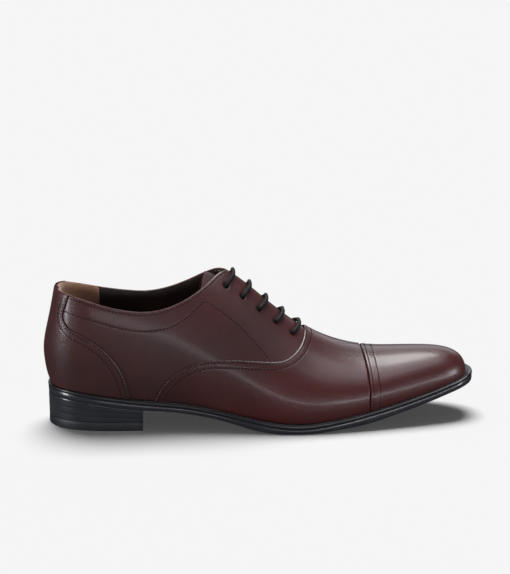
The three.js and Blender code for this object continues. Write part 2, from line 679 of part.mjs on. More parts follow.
function tonguePiece(depths, inset) {
  const outline = [[110 + inset, 114], [103 + inset, 98], [110 + inset, 60], [150, 40], [THROAT - inset, 44],
    [THROAT - inset, 90], [150, 130], [117 + inset, 130]];
  const left = TONGUE_HALF_WIDTHS.map(([x, half]) => new THREE.Vector2(x, inset - half));
  const right = TONGUE_HALF_WIDTHS.map(([x, half]) => new THREE.Vector2(x, half - inset)).reverse();
  const plan = new THREE.Shape([...left, ...right]);
  const column = new THREE.ExtrudeGeometry(plan, { depth: BEYOND.high, bevelEnabled: false });
  return layer(depths).intersect(bothSides(outline)).intersect(solidOf(column));
}

// ---- assembly -----------------------------------------------------------------------------------

const finish = (color, roughness, metalness = 0) => ({ color, roughness, metalness });
const BURGUNDY = finish(0x4a2c2c, 0.32);
const BURGUNDY_QUARTER = finish(0x543a3b, 0.38);
const DARK_LINING = finish(0x1d1210, 0.55);
const TAN_SUEDE = finish(0x6a4a36, 0.9);
const BLACK_EDGE = finish(0x1b1a1c, 0.3);
const BLACK_RUBBER = finish(0x161617, 0.5);
const BLACK_LACE = finish(0x121214, 0.6);
const BRASS = finish(0x9a7a3c, 0.35, 1);
const STEEL = finish(0x8b8e92, 0.4, 1);
const CORK_BROWN = finish(0x8a6238, 0.95);
const BOARD = finish(0xa48560, 0.9);
const CANVAS = finish(0xb9ab93, 0.95);

const shoe = new THREE.Group();

function addPart(name, geometry, look) {
  const mesh = new THREE.Mesh(geometry, new THREE.MeshStandardMaterial(look));
  mesh.name = name;
  shoe.add(mesh);
}

const addSolid = (name, solid, look) => addPart(name, geometryOf(solid), look);

const SIDES = [['lateral', -1], ['medial', 1]];

addSolid('toe_cap', toeCap(), BURGUNDY);
addSolid('vamp', vamp(), BURGUNDY);
addSolid('counter_cover', counterCover(), BURGUNDY);
SIDES.forEach(([name, side]) => addSolid(`quarter_${name}`, quarter(side), BURGUNDY_QUARTER));
addSolid('vamp_interlining', vampInterlining(), CANVAS);
addSolid('toe_puff', toePuff(), CANVAS);
addSolid('heel_stiffener', heelStiffener(), BOARD);
SIDES.forEach(([name, side]) => addSolid(`facing_stay_${name}`, facingStay(side), CANVAS));
addSolid('vamp_lining', vampLining(), DARK_LINING);
SIDES.forEach(([name, side]) => addSolid(`quarter_lining_${name}`, quarterLining(side), DARK_LINING));
addSolid('heel_grip_lining', heelGrip(), TAN_SUEDE);
addSolid('tongue', tonguePiece(TONGUE_DEPTHS, 0), BURGUNDY);
addSolid('tongue_lining', tonguePiece(TONGUE_LINING_DEPTHS, 1.5), DARK_LINING);

addSolid('welt', welt(), BLACK_EDGE);
addSolid('outsole', outsole(), BLACK_EDGE);
addSolid('cork_filler_front', corkBetween(CORK.split, BEYOND.front), CORK_BROWN);
addSolid('cork_filler_heel', corkBetween(BEYOND.back, CORK.split - GAP), CORK_BROWN);
addSolid('shank', shank(), STEEL);
addSolid('insole_board', insole(), BOARD);
addSolid('sock_lining', sock(), DARK_LINING);
addSolid('heel_top_lift', topLift(), BLACK_RUBBER);
for (let index = 0; index < HEEL_LIFTS; index += 1) {
  addSolid(`heel_lift_${index + 1}`, heelLift(index), BLACK_EDGE);
}

SIDES.forEach(([name, side]) => EYELET_ROWS.forEach((_, row) => {
  addPart(`eyelet_${name}_${row + 1}`, placedOnFacing(eyeletGeometry(), row, side), BRASS);
}));
addPart('lace', laceGeometry(), BLACK_LACE);
addPart('aglet_lateral', agletGeometry(lacePoints[0], lacePoints[1]), BLACK_RUBBER);
addPart('aglet_medial', agletGeometry(lacePoints.at(-1), lacePoints.at(-2)), BLACK_RUBBER);

// The origin is the middle of the footprint, on the ground.
const extent = new THREE.Box3().setFromObject(shoe);
shoe.position.set(-(extent.min.x + extent.max.x) / 2, -(extent.min.y + extent.max.y) / 2, -extent.min.z);

export default shoe;
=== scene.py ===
"""Looks for the leather oxford shoe: leather shells, seams, lace, sole unit, finishes, light and camera."""

import math

import bmesh
import bpy
import numpy as np
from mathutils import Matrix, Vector
from mathutils.kdtree import KDTree


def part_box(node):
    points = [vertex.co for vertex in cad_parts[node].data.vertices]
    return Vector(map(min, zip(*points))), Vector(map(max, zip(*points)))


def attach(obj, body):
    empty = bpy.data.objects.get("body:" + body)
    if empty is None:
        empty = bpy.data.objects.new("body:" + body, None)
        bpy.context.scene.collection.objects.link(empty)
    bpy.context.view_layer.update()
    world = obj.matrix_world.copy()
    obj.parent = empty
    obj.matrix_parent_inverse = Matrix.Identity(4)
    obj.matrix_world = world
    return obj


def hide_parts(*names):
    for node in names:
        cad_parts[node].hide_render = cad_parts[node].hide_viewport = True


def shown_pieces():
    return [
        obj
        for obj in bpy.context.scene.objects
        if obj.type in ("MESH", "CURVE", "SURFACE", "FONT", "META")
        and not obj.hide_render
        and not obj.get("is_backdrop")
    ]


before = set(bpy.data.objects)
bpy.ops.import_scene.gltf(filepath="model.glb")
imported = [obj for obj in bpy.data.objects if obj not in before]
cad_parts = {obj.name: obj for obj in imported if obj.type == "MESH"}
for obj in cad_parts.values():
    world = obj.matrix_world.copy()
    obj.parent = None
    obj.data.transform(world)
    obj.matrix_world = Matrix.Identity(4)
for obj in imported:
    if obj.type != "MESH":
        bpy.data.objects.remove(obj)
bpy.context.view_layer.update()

# ---- frame and driving sizes, in millimetres of the shoe's own layout ---------------------------

SOLE_LENGTH = 305.0
UPPER_BACK = -2.9
UPPER_TIP = 300.2
SHANK_START = 42.0
WELT_THICKNESS = 2.2
HEEL_BREAST = 66.4
TOP_LIFT = 6.5
LIFTS = 3

OVERLAY_DEPTH = 0.0
QUARTER_DEPTH = 1.3
TONGUE_DEPTH = 8.5
LEATHER = 1.15

shank_low, shank_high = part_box("shank")
OFFSET = np.array([shank_low.x * 1000 - SHANK_START, (shank_low.y + shank_high.y) * 500, 0.0])


def placed(points):
    """Layout millimetres to metres in the row frame."""
    return (np.asarray(points, float) + OFFSET) / 1000


# ---- curves of the last -------------------------------------------------------------------------

class Spline:
    """Natural cubic spline through a few control points."""

    def __init__(self, points):
        self.x = np.array([p[0] for p in points], float)
        self.y = np.array([p[1] for p in points], float)
        n = len(self.x)
        h = np.diff(self.x)
        matrix = np.eye(n)
        right = np.zeros(n)
        for i in range(1, n - 1):
            matrix[i, i - 1:i + 2] = h[i - 1], 2 * (h[i - 1] + h[i]), h[i]
            right[i] = 6 * ((self.y[i + 1] - self.y[i]) / h[i] - (self.y[i] - self.y[i - 1]) / h[i - 1])
        self.bend = np.linalg.solve(matrix, right)

    def __call__(self, t):
        t = np.asarray(t, float)
        i = np.clip(np.searchsorted(self.x, t) - 1, 0, len(self.x) - 2)
        h = self.x[i + 1] - self.x[i]
        a, c = self.x[i + 1] - t, t - self.x[i]
        m, y = self.bend, self.y
        curve = (m[i] * a ** 3 + m[i + 1] * c ** 3) / (6 * h)
        return curve + (y[i] / h - m[i] * h / 6) * a + (y[i + 1] / h - m[i + 1] * h / 6) * c


def station_of(x):
    share = (np.asarray(x, float) - UPPER_BACK) / (UPPER_TIP - UPPER_BACK)
    return np.arccos(np.clip(1 - 2 * share, -1, 1)) / math.pi


def along(points):
    return Spline([(float(station_of(x)), value) for x, value in points])


welt_top = along([(-2.9, 29.2), (12, 28.5), (43, 24.4), (68, 21.2), (102, 17.6), (130, 12), (149, 8.4),
                  (174, 5.9), (202, 8.2), (233, 13.6), (260, 19.6), (285, 26.1), (300.2, 31.1)])
crest_height = along([(-2.9, 137), (40, 135), (88, 126.5), (112, 117.6), (127.7, 110.6), (155, 89),
                      (181, 68), (200, 57.5), (226, 49.8), (250, 48.6), (268, 48.6), (284, 47.2),
                      (293.5, 43.6), (298.5, 38.4), (300.2, 31.5)])
outer_half = along([(-2.9, 0), (2, 16), (10, 25), (25, 32), (50, 35.5), (85, 37), (120, 42), (150, 48),
                    (175, 51), (200, 49.5), (230, 42.8), (260, 33.4), (275, 28), (286, 23.2), (294, 17.6),
                    (298.6, 10.6), (300.2, 0)])
inner_half = along([(-2.9, 0), (2, 16), (10, 25), (25, 31), (50, 33.5), (85, 34), (120, 37), (150, 41),
                    (175, 46), (200, 48.3), (230, 43.4), (260, 33.6), (275, 28), (286, 23.2), (294, 17.6),
                    (298.6, 10.6), (300.2, 0)])
feather_share = along([(-2.9, 0.9), (20, 0.86), (60, 0.84), (100, 0.82), (150, 0.88), (200, 0.93),
                       (260, 0.95), (300.2, 1)])
wall_out = along([(-2.9, 1.1), (60, 1.1), (120, 1.12), (200, 1.1), (260, 1.05), (300.2, 1)])
wall_up = along([(-2.9, 0.42), (60, 0.45), (120, 0.4), (160, 0.42), (200, 0.52), (250, 0.56),
                 (300.2, 0.56)])
crest_out = along([(-2.9, 0.62), (60, 0.6), (110, 0.36), (150, 0.3), (181, 0.34), (210, 0.45), (250, 0.55),
                   (300.2, 0.56)])
back_curve = Spline([(28, 3.2), (34, 0.4), (45, -2.2), (55, -2.9), (75, 0.9), (97, 6.2), (140, 16)])


def bezier(a, b, c, d, t):
    return a * (1 - t) ** 3 + 3 * b * (1 - t) ** 2 * t + 3 * c * (1 - t) * t * t + d * t ** 3


def last_point(s, ring):
    """Outside of the upper. s runs from heel to toe, ring from the outer feather edge over to the inner."""
    s, ring = np.broadcast_arrays(np.asarray(s, float), np.asarray(ring, float))
    side = np.where(ring < 0.5, -1.0, 1.0)
    v = 1 - np.abs(2 * ring - 1)
    half = np.where(side < 0, outer_half(s), inner_half(s))
    foot = welt_top(s) + 0.4
    y = side * half * bezier(feather_share(s), wall_out(s), crest_out(s), 0, v)
    z = foot + (crest_height(s) - foot) * bezier(0, wall_up(s), 1, 1, v)
    x = UPPER_BACK + (UPPER_TIP - UPPER_BACK) * (1 - np.cos(math.pi * s)) / 2
    backward = np.clip(1 - s / 0.3, 0, 1) ** 2
    return np.stack([x + (back_curve(z) - UPPER_BACK) * backward, y, z], -1)


STEP = 1e-4


def last_frame(s, ring):
    """Point, the two surface tangents and the outward normal."""
    s = np.clip(np.asarray(s, float), STEP, 1 - 3 * STEP)
    ring = np.clip(np.asarray(ring, float), 2 * STEP, 1 - 2 * STEP)
    forward = (last_point(s + STEP, ring) - last_point(s - STEP, ring)) / (2 * STEP)
    across = (last_point(s, ring + STEP) - last_point(s, ring - STEP)) / (2 * STEP)
    normal = np.cross(forward, across)
    normal /= np.maximum(np.linalg.norm(normal, axis=-1, keepdims=True), 1e-12)
    return last_point(s, ring), forward, across, normal


# ---- seam lines in side view --------------------------------------------------------------------

TOPLINE = [(-12, 99.6), (9, 98.6), (21, 96.2), (40, 90.8), (58, 87), (73, 86.4), (87, 89.4), (100.5, 95.3),
           (112, 102.2), (121, 108.4), (127, 110.2), (131.5, 109.4), (136, 116)]
WING = [(73, 16), (75.5, 23), (81, 33.2), (89, 41), (98, 46.5), (112, 50.8), (132, 51.6), (150, 50.4),
        (164, 50), (173, 53.2), (180.5, 59.5), (184.5, 68.2), (186, 84)]
COUNTER = [(15, 104), (14, 98), (11.5, 90), (9.5, 81.5), (13.5, 74.5), (24, 69), (36, 61.5), (46, 50.5),
           (52.5, 37.8), (56, 24), (57, 14)]
CAP_SEAM = [(224.2, 64), (224.6, 52.5), (226, 46), (227, 38), (227.5, 26), (227, 4)]
QUARTER_LINE = [(8, 86), (24, 82.6), (45, 76.4), (60, 73), (71, 72.6), (84, 74.6), (96, 80.5), (105, 87.5),
                (109, 90.4), (111.2, 91.2), (113.5, 90.4), (118, 87.6), (127, 81), (137, 72.4), (146, 63),
                (155, 52)]
EYELET_ROWS = [(127, 13.6), (138.8, 14.4), (150.6, 15.2), (162.4, 16), (174.2, 16.6)]
BAR_LEAN = 5.5
FACING_GAP = 4.0


def inner_line(points):
    """The topline of the inner side dips a little less."""
    x, z = np.array(points, float).T
    back_drop = 2 * np.clip((30 - x) / 40, 0, 1) * np.clip((x - 6) / 12, 0, 1)
    middle_rise = 2.2 * np.clip((x - 30) / 30, 0, 1) * np.clip((128 - x) / 15, 0, 1)
    return list(zip(x, z - back_drop + middle_rise))


def catmull(points, count):
    """Uniform Catmull-Rom curve through the points."""
    p = np.array(points, float)
    t = np.linspace(0, len(p) - 1, count)
    i = np.minimum(t.astype(int), len(p) - 2)
    w = (t - i)[:, None]
    p0, p1, p2 = p[np.maximum(i - 1, 0)], p[i], p[i + 1]
    p3 = p[np.minimum(i + 2, len(p) - 1)]
    v0, v1 = (p2 - p0) / 2, (p3 - p1) / 2
    return (2 * p1 - 2 * p2 + v0 + v1) * w ** 3 + (-3 * p1 + 3 * p2 - 2 * v0 - v1) * w ** 2 + v0 * w + p1


def signed_distance(outline, x, z):
    """Distance to a closed side-view outline, positive inside."""
    a = np.asarray(outline, float)
    b = np.roll(a, -1, axis=0)
    best = np.full(x.shape, 1e9)
    inside = np.zeros(x.shape, bool)
    for (ax, az), (bx, bz) in zip(a, b):
        ex, ez = bx - ax, bz - az
        length = max(ex * ex + ez * ez, 1e-12)
        t = np.clip(((x - ax) * ex + (z - az) * ez) / length, 0, 1)
        best = np.minimum(best, (x - ax - t * ex) ** 2 + (z - az - t * ez) ** 2)
        if az != bz:
            crosses = ((az > z) != (bz > z)) & (x < ax + (z - az) / (bz - az) * ex)
            inside ^= crosses
    return np.where(inside, 1, -1) * np.sqrt(best)


SMOOTH = 160
FAR = 500.0


def closed_outline(line, *corners):
    return np.vstack([catmull(line, SMOOTH), corners])


topline_outer = closed_outline(TOPLINE, (136, FAR), (FAR, FAR), (FAR, -FAR), (-FAR, -FAR), (-FAR, 99.6))
topline_inner = closed_outline(inner_line(TOPLINE), (136, FAR), (FAR, FAR), (FAR, -FAR), (-FAR, -FAR),
                               (-FAR, 97.6))
wing_region = closed_outline(WING, (186, FAR), (FAR, FAR), (FAR, -FAR), (73, -FAR))
counter_region = closed_outline(COUNTER, (57, -FAR), (-FAR, -FAR), (-FAR, 104))
cap_region = closed_outline(CAP_SEAM, (227, -FAR), (FAR, -FAR), (FAR, FAR), (224.2, FAR))


def below_topline(p, ring):
    x, z = p[..., 0], p[..., 2]
    return np.where(ring < 0.5, signed_distance(topline_outer, x, z), signed_distance(topline_inner, x, z))


def inside_of(region):
    return lambda p, ring: signed_distance(region, p[..., 0], p[..., 2])


ahead_of_wing = inside_of(wing_region)
behind_counter = inside_of(counter_region)
ahead_of_cap = inside_of(cap_region)


# ---- curves lying on the upper ------------------------------------------------------------------

def ring_at_height(x, z, side):
    """Place (s, ring) on the upper where its side view is at x, z."""
    x, z = np.asarray(x, float), np.asarray(z, float)
    s = station_of(x)
    for _ in range(4):
        low, high = np.zeros_like(z), np.ones_like(z)
        for _ in range(30):
            middle = (low + high) / 2
            ring = middle / 2 if side < 0 else 1 - middle / 2
            below = last_point(s, ring)[..., 2] < z
            low, high = np.where(below, middle, low), np.where(below, high, middle)
        ring = low / 2 if side < 0 else 1 - low / 2
        error = x - last_point(s, ring)[..., 0]
        plain_x = UPPER_BACK + (UPPER_TIP - UPPER_BACK) * (1 - np.cos(math.pi * s)) / 2
        s = station_of(plain_x + error)
    return s, ring


def ring_at_width(x, y):
    """Place (s, ring) near the crest at plan position x, y."""
    x, y = np.broadcast_arrays(np.asarray(x, float), np.asarray(y, float))
    s = station_of(x)
    low, high = np.where(y < 0, 0.25, 0.5), np.where(y < 0, 0.5, 0.75)
    for _ in range(40):
        middle = (low + high) / 2
        left = last_point(s, middle)[..., 1] < y
        low, high = np.where(left, middle, low), np.where(left, high, middle)
    return s, (low + high) / 2


def smoothed(values, passes):
    for _ in range(passes):
        values[1:-1] = (values[:-2] + 2 * values[1:-1] + values[2:]) / 4
    return values


def resampled(places, spacing):
    """Places (s, ring) respaced evenly along their curve on the upper."""
    points = last_point(places[:, 0], places[:, 1])
    length = np.concatenate([[0], np.cumsum(np.linalg.norm(np.diff(points, axis=0), axis=1))])
    count = max(3, int(length[-1] / spacing) + 1)
    t = np.linspace(0, length[-1], count)
    return np.stack([np.interp(t, length, places[:, k]) for k in (0, 1)], 1)


LOWEST_LINE = -99.0
LAID_POINTS = 240
ON_SURFACE = 0.4
SHIFT_SPACING = 1.0
SHIFT_STEP = 1.5
ROW_SPACING = 0.6


def side_curve(line, side, low=LOWEST_LINE):
    """A side-view line laid on one side of the upper, kept where it is higher than low."""
    fine = catmull(line, LAID_POINTS)
    s, ring = ring_at_height(fine[:, 0], fine[:, 1], side)
    p = last_point(s, ring)
    reached = (np.abs(p[:, 2] - fine[:, 1]) < ON_SURFACE) & (fine[:, 1] > low)
    return np.stack([s, ring], 1)[reached]


def shifted_curve(places, distance):
    """A curve moved sideways on the upper, to the left of its direction seen from outside."""
    moved = resampled(places, SHIFT_SPACING)
    rounds = max(1, int(abs(distance) / SHIFT_STEP))
    for _ in range(rounds):
        p, forward, across, normal = last_frame(moved[:, 0], moved[:, 1])
        tangent = np.gradient(p, axis=0)
        tangent /= np.linalg.norm(tangent, axis=1, keepdims=True)
        left = np.cross(normal, tangent) * distance / rounds
        ff = (forward * forward).sum(1)
        fa = (forward * across).sum(1)
        aa = (across * across).sum(1)
        lf, la = (left * forward).sum(1), (left * across).sum(1)
        det = ff * aa - fa * fa
        step = np.stack([(lf * aa - la * fa) / det, (la * ff - lf * fa) / det], 1)
        moved = moved + step
        smoothed(moved, 3)
    return resampled(moved, ROW_SPACING)


def mirrored_join(outer, inner):
    """One curve over the crest: the outer side's line up to the crest, then the inner side's line down."""
    return np.vstack([outer, inner[::-1]])


cap_line = mirrored_join(side_curve(CAP_SEAM[1:][::-1], -1), side_curve(CAP_SEAM[1:][::-1], 1))
WING_FOOT = 14.0
wing_line = mirrored_join(side_curve(WING, -1, WING_FOOT), side_curve(WING, 1, WING_FOOT))
counter_lines = [side_curve(COUNTER[::-1], side) for side in (-1, 1)]
quarter_lines = [side_curve(QUARTER_LINE, side) for side in (-1, 1)]
topline_lines = [side_curve(TOPLINE[1:-1], -1), side_curve(inner_line(TOPLINE)[1:-1], 1)]

# ---- grid of the upper --------------------------------------------------------------------------

GRID_LENGTH = 330
GRID_RING = 176


def crowded(count, amount):
    """Ring values from 0 to 1, closer together over the crest."""
    t = np.linspace(0, 1, count + 1)
    share = 1 - np.abs(2 * t - 1)
    v = share * (1 + amount * (1 - share))
    return np.where(t < 0.5, v / 2, 1 - v / 2)


grid_t = np.linspace(0, 1, GRID_LENGTH + 1)
grid_s = grid_t + 0.3 * np.sin(2 * math.pi * grid_t) / (2 * math.pi)
grid_ring = crowded(GRID_RING, 0.3)
GRID_S, GRID_R = np.meshgrid(grid_s, grid_ring, indexing="ij")
GRID_P = last_point(GRID_S, GRID_R)


def clipped(inside, stride=1):
    """Grid cells where inside > 0, cut at its zero line: places (s, ring), faces and values of inside."""
    grid_s_part, grid_r_part = GRID_S[::stride, ::stride], GRID_R[::stride, ::stride]
    rows, columns = grid_s_part.shape
    value = inside(GRID_P[::stride, ::stride], grid_r_part)
    flat = np.where(np.abs(value) < 0.02, 0.02, value).ravel()
    index = np.arange(rows * columns).reshape(rows, columns)
    cells = np.stack([index[:-1, :-1], index[1:, :-1], index[1:, 1:], index[:-1, 1:]], -1).reshape(-1, 4)
    keep = (flat[cells] > 0).sum(1)
    faces = [tuple(int(k) for k in cell) for cell in cells[keep == 4]]
    places = np.stack([grid_s_part.ravel(), grid_r_part.ravel()], 1)
    new_places, new_index = [], {}

    def crossing(a, b):
        key = (min(a, b), max(a, b))
        if key not in new_index:
            t = flat[a] / (flat[a] - flat[b])
            new_index[key] = rows * columns + len(new_places)
            new_places.append(places[a] + (places[b] - places[a]) * t)
        return new_index[key]

    for cell in cells[(keep > 0) & (keep < 4)]:
        polygon = []
        for a, b in zip(cell, np.roll(cell, -1)):
            if flat[a] > 0:
                polygon.append(int(a))
            if (flat[a] > 0) != (flat[b] > 0):
                polygon.append(crossing(int(a), int(b)))
        if len(polygon) > 2:
            faces.append(tuple(polygon))
    every_place = np.vstack([places, *new_places])
    every_value = np.concatenate([flat, np.zeros(len(new_places))])
    used = np.unique(np.concatenate([np.asarray(f) for f in faces]))
    renumber = np.full(len(every_place), -1)
    renumber[used] = np.arange(len(used))
    return every_place[used], [tuple(int(renumber[k]) for k in f) for f in faces], every_value[used]


def distance_to(curves, points):
    """Distance from each point to the nearest of the given curves (each a list of points)."""
    stacked = np.vstack(curves)
    tree = KDTree(len(stacked))
    for k, p in enumerate(stacked):
        tree.insert(p, k)
    tree.balance()
    return np.array([tree.find(p)[2] for p in points])


def refined(places, faces, value, curves, reaches=(2.4, 1.3)):
    """The same mesh with its cells split where they lie near the curves, once for each reach."""
    shape = bmesh.new()
    corners = [shape.verts.new((s, ring, v)) for (s, ring), v in zip(places, value)]
    for face in faces:
        shape.faces.new([corners[k] for k in face])
    for reach in reaches:
        shape.verts.index_update()
        spots = np.array([v.co for v in shape.verts], float)
        near = distance_to(curves, last_point(spots[:, 0], spots[:, 1])) < reach
        split = [e for e in shape.edges if near[e.verts[0].index] or near[e.verts[1].index]]
        bmesh.ops.subdivide_edges(shape, edges=split, cuts=1, use_grid_fill=True)
    shape.verts.index_update()
    spots = np.array([v.co for v in shape.verts], float)
    made = [tuple(v.index for v in f.verts) for f in shape.faces]
    shape.free()
    return spots[:, :2], made, spots[:, 2]


def mesh_object(name, points, faces, finishes, face_finish=None, sharp_angle=50):
    """A mesh in the row frame from layout points, smooth but for its sharp edges."""
    mesh = bpy.data.meshes.new(name)
    mesh.from_pydata([tuple(p) for p in placed(points)], [], faces)
    for finish in finishes:
        mesh.materials.append(finish)
    if face_finish is not None:
        mesh.polygons.foreach_set("material_index", np.asarray(face_finish, np.int32))
    mesh.validate()
    mesh.shade_smooth()
    mesh.set_sharp_from_angle(angle=math.radians(sharp_angle))
    obj = bpy.data.objects.new(name, mesh)
    bpy.context.scene.collection.objects.link(obj)
    return obj


def finished_piece(obj, body, slot, *nodes):
    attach(obj, body)
    if nodes:
        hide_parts(*nodes)
    return obj


NO_FOLD = 0.6


def inward(points, normals, depth):
    """Points moved in by a depth. Under the narrow ridge of the instep they draw in sideways only so far."""
    step = -normals * np.asarray(depth)[..., None]
    most = NO_FOLD * np.abs(points[..., 1])
    folds = (normals[..., 2] > 0) & (np.abs(step[..., 1]) > most)
    sideways = np.where(folds, np.sign(step[..., 1]) * most, step[..., 1])
    rest = np.sqrt(np.maximum(np.asarray(depth) ** 2 - step[..., 0] ** 2 - sideways ** 2, 0))
    down = np.where(folds, -rest, step[..., 2])
    return points + np.stack([step[..., 0], sideways, down], -1)


def merged(points, faces):
    """One vertex for each distinct point, and the faces without repeated corners."""
    keys = np.round(points * 500).astype(np.int64)
    _, first, into = np.unique(keys, axis=0, return_index=True, return_inverse=True)
    into = into.ravel()
    clean = []
    for face in faces:
        corners = [int(into[k]) for k in face]
        corners = [k for i, k in enumerate(corners) if k != corners[i - 1]]
        if len(set(corners)) == len(corners) and len(corners) > 2:
            clean.append(tuple(corners))
    return first, into, clean


def shell(name, places, faces, outer, inner, finishes):
    """A closed leather shell between two depths. Its cut edges take the second finish."""
    points, _, _, normals = last_frame(places[:, 0], places[:, 1])
    first, into, faces = merged(points, faces)
    total = np.zeros((len(first), 3))
    np.add.at(total, into, normals)
    normals = total / np.linalg.norm(total, axis=1, keepdims=True)
    points, outer, inner = points[first], outer[first], inner[first]
    count = len(points)
    edges = {(a, b) for face in faces for a, b in zip(face, face[1:] + face[:1])}
    rim = [(b, a, a + count, b + count) for a, b in edges if (b, a) not in edges]
    within = [tuple(k + count for k in face[::-1]) for face in faces]
    vertices = np.vstack([inward(points, normals, outer), inward(points, normals, inner)])
    face_finish = [0] * (2 * len(faces)) + [1] * len(rim)
    return mesh_object(name, vertices, faces + within + sorted(rim), finishes, face_finish)


ROUNDED_EDGE = 1.0
EDGE_DROP = 0.42
GROOVE_DEPTH = 0.13
GROOVE_WIDTH = 0.5


def leather_piece(name, inside, depth, rows, edges, finishes, sink=None):
    """An overlay cut from the upper: rounded cut edges, and a groove pressed in along each stitch row."""
    places, faces, value = clipped(inside)
    rows = [last_point(row[:, 0], row[:, 1]) for row in rows]
    edges = [last_point(edge[:, 0], edge[:, 1]) for edge in edges]
    places, faces, value = refined(places, faces, value, rows + edges)
    points = last_point(places[:, 0], places[:, 1])
    outer = depth + EDGE_DROP * np.clip(1 - value / ROUNDED_EDGE, 0, 1) ** 2
    if rows:
        outer = outer + GROOVE_DEPTH * np.exp(-(distance_to(rows, points) / GROOVE_WIDTH) ** 2)
    if sink is not None:
        outer = outer + sink(points)
    return shell(name, places, faces, outer, np.maximum(outer + 0.5, depth + LEATHER), finishes)


# ---- finishes -----------------------------------------------------------------------------------

class Value:
    """A shader socket that takes part in sums, with one Math node for each operation."""

    def __init__(self, finish, socket):
        self.finish, self.socket = finish, socket

    def _joined(self, operation, first, second):
        node = self.finish.node("ShaderNodeMath", {"operation": operation}, {0: first, 1: second})
        return Value(self.finish, node.outputs[0])

    def __add__(self, other):
        return self._joined("ADD", self, other)

    def __radd__(self, other):
        return self._joined("ADD", other, self)

    def __sub__(self, other):
        return self._joined("SUBTRACT", self, other)

    def __rsub__(self, other):
        return self._joined("SUBTRACT", other, self)

    def __mul__(self, other):
        return self._joined("MULTIPLY", self, other)

    def __rmul__(self, other):
        return self._joined("MULTIPLY", other, self)


class Finish:
    """A procedural finish round one Principled shader."""

    def __init__(self, name, **constants):
        self.material = bpy.data.materials.new(name)
        self.material.use_nodes = True
        self.tree = self.material.node_tree
        self.tree.nodes.clear()
        self.shader = self.node("ShaderNodeBsdfPrincipled")
        output = self.node("ShaderNodeOutputMaterial")
        self.tree.links.new(self.shader.outputs[0], output.inputs["Surface"])
        for key, value in constants.items():
            self.shader.inputs[key.replace("_", " ")].default_value = value
        place = self.node("ShaderNodeTexCoord")
        self.place = place.outputs["Object"]

    def node(self, kind, settings=None, inputs=None):
        made = self.tree.nodes.new(kind)
        for key, value in (settings or {}).items():
            setattr(made, key, value)
        for key, value in (inputs or {}).items():
            if isinstance(value, Value):
                value = value.socket
            if isinstance(value, bpy.types.NodeSocket):
                self.tree.links.new(value, made.inputs[key])
            else:
                made.inputs[key].default_value = value
        return made

    def noise(self, scale, detail=3.0, roughness=0.5, along=None):
        inputs = {"Vector": along or self.place, "Scale": scale, "Detail": detail, "Roughness": roughness}
        return Value(self, self.node("ShaderNodeTexNoise", {}, inputs).outputs[0])

    def cells(self, scale, feature="DISTANCE_TO_EDGE"):
        node = self.node("ShaderNodeTexVoronoi", {"feature": feature}, {"Vector": self.place, "Scale": scale})
        return Value(self, node.outputs["Distance"])

    def between(self, value, low, high):
        """Value spread from low..high onto 0..1."""
        node = self.node("ShaderNodeMapRange", {}, {0: value, 1: low, 2: high})
        return Value(self, node.outputs[0])

    def attribute(self, name):
        return Value(self, self.node("ShaderNodeAttribute", {"attribute_name": name}).outputs["Fac"])

    def mixed(self, share, first, second):
        node = self.node("ShaderNodeMix", {"data_type": "RGBA"}, {0: share, 6: first, 7: second})
        return node.outputs[2]

    def use(self, **links):
        for key, value in links.items():
            socket = value.socket if isinstance(value, Value) else value
            self.tree.links.new(socket, self.shader.inputs[key.replace("_", " ")])

    def bump(self, height, strength, distance):
        node = self.node("ShaderNodeBump", {}, {"Strength": strength, "Distance": distance, "Height": height})
        self.tree.links.new(node.outputs[0], self.shader.inputs["Normal"])


def shade(red, green, blue):
    """A linear colour from its display values, 0 to 255."""
    def linear(c):
        c /= 255
        return c / 12.92 if c <= 0.04045 else ((c + 0.055) / 1.055) ** 2.4
    return (linear(red), linear(green), linear(blue), 1.0)


def polished_leather(name, deep, main, warm, roughness, coat):
    """Dyed and polished calf: cloudy dye, a fine grain with pores, and a wax coat."""
    finish = Finish(name, Coat_Weight=coat, Coat_Roughness=0.18, Specular_IOR_Level=0.28)
    clouds = finish.between(finish.noise(24, 4, 0.55), 0.35, 0.68)
    drift = finish.between(finish.noise(9, 2, 0.5), 0.38, 0.62)
    base = finish.mixed(clouds, shade(*deep), shade(*main))
    flecks = finish.between(finish.noise(650, 2, 0.6), 0.35, 0.75)
    dyed = finish.mixed(drift * 0.55, base, shade(*warm))
    finish.use(Base_Color=finish.mixed(flecks * 0.34, dyed, shade(*deep)))
    grain = finish.between(finish.cells(1150), 0.0, 0.28)
    fine = finish.noise(2600, 2, 0.6)
    handled = finish.noise(140, 3, 0.6)
    finish.use(Roughness=finish.noise(60, 3) * 0.12 + fine * 0.06 + (roughness - 0.09))
    finish.bump(grain * 0.5 + fine * 0.35 + handled * 0.9 + finish.noise(420, 2) * 0.5, 0.42, 0.0002)
    return finish.material


def suede(name, deep, main):
    """Napped suede, cloudy where it was brushed, with no shine."""
    finish = Finish(name, Specular_IOR_Level=0.15, Sheen_Weight=0.35, Sheen_Roughness=0.5)
    clouds = finish.between(finish.noise(45, 4, 0.6), 0.3, 0.7)
    nap = finish.noise(2200, 3, 0.7)
    base = finish.mixed(clouds, shade(*deep), shade(*main))
    finish.use(Base_Color=finish.mixed(finish.between(nap, 0.3, 0.8) * 0.4, base, shade(*deep)))
    finish.use(Roughness=nap * 0.1 + 0.85)
    finish.bump(nap + finish.noise(300, 3) * 0.6, 0.5, 0.00035)
    return finish.material


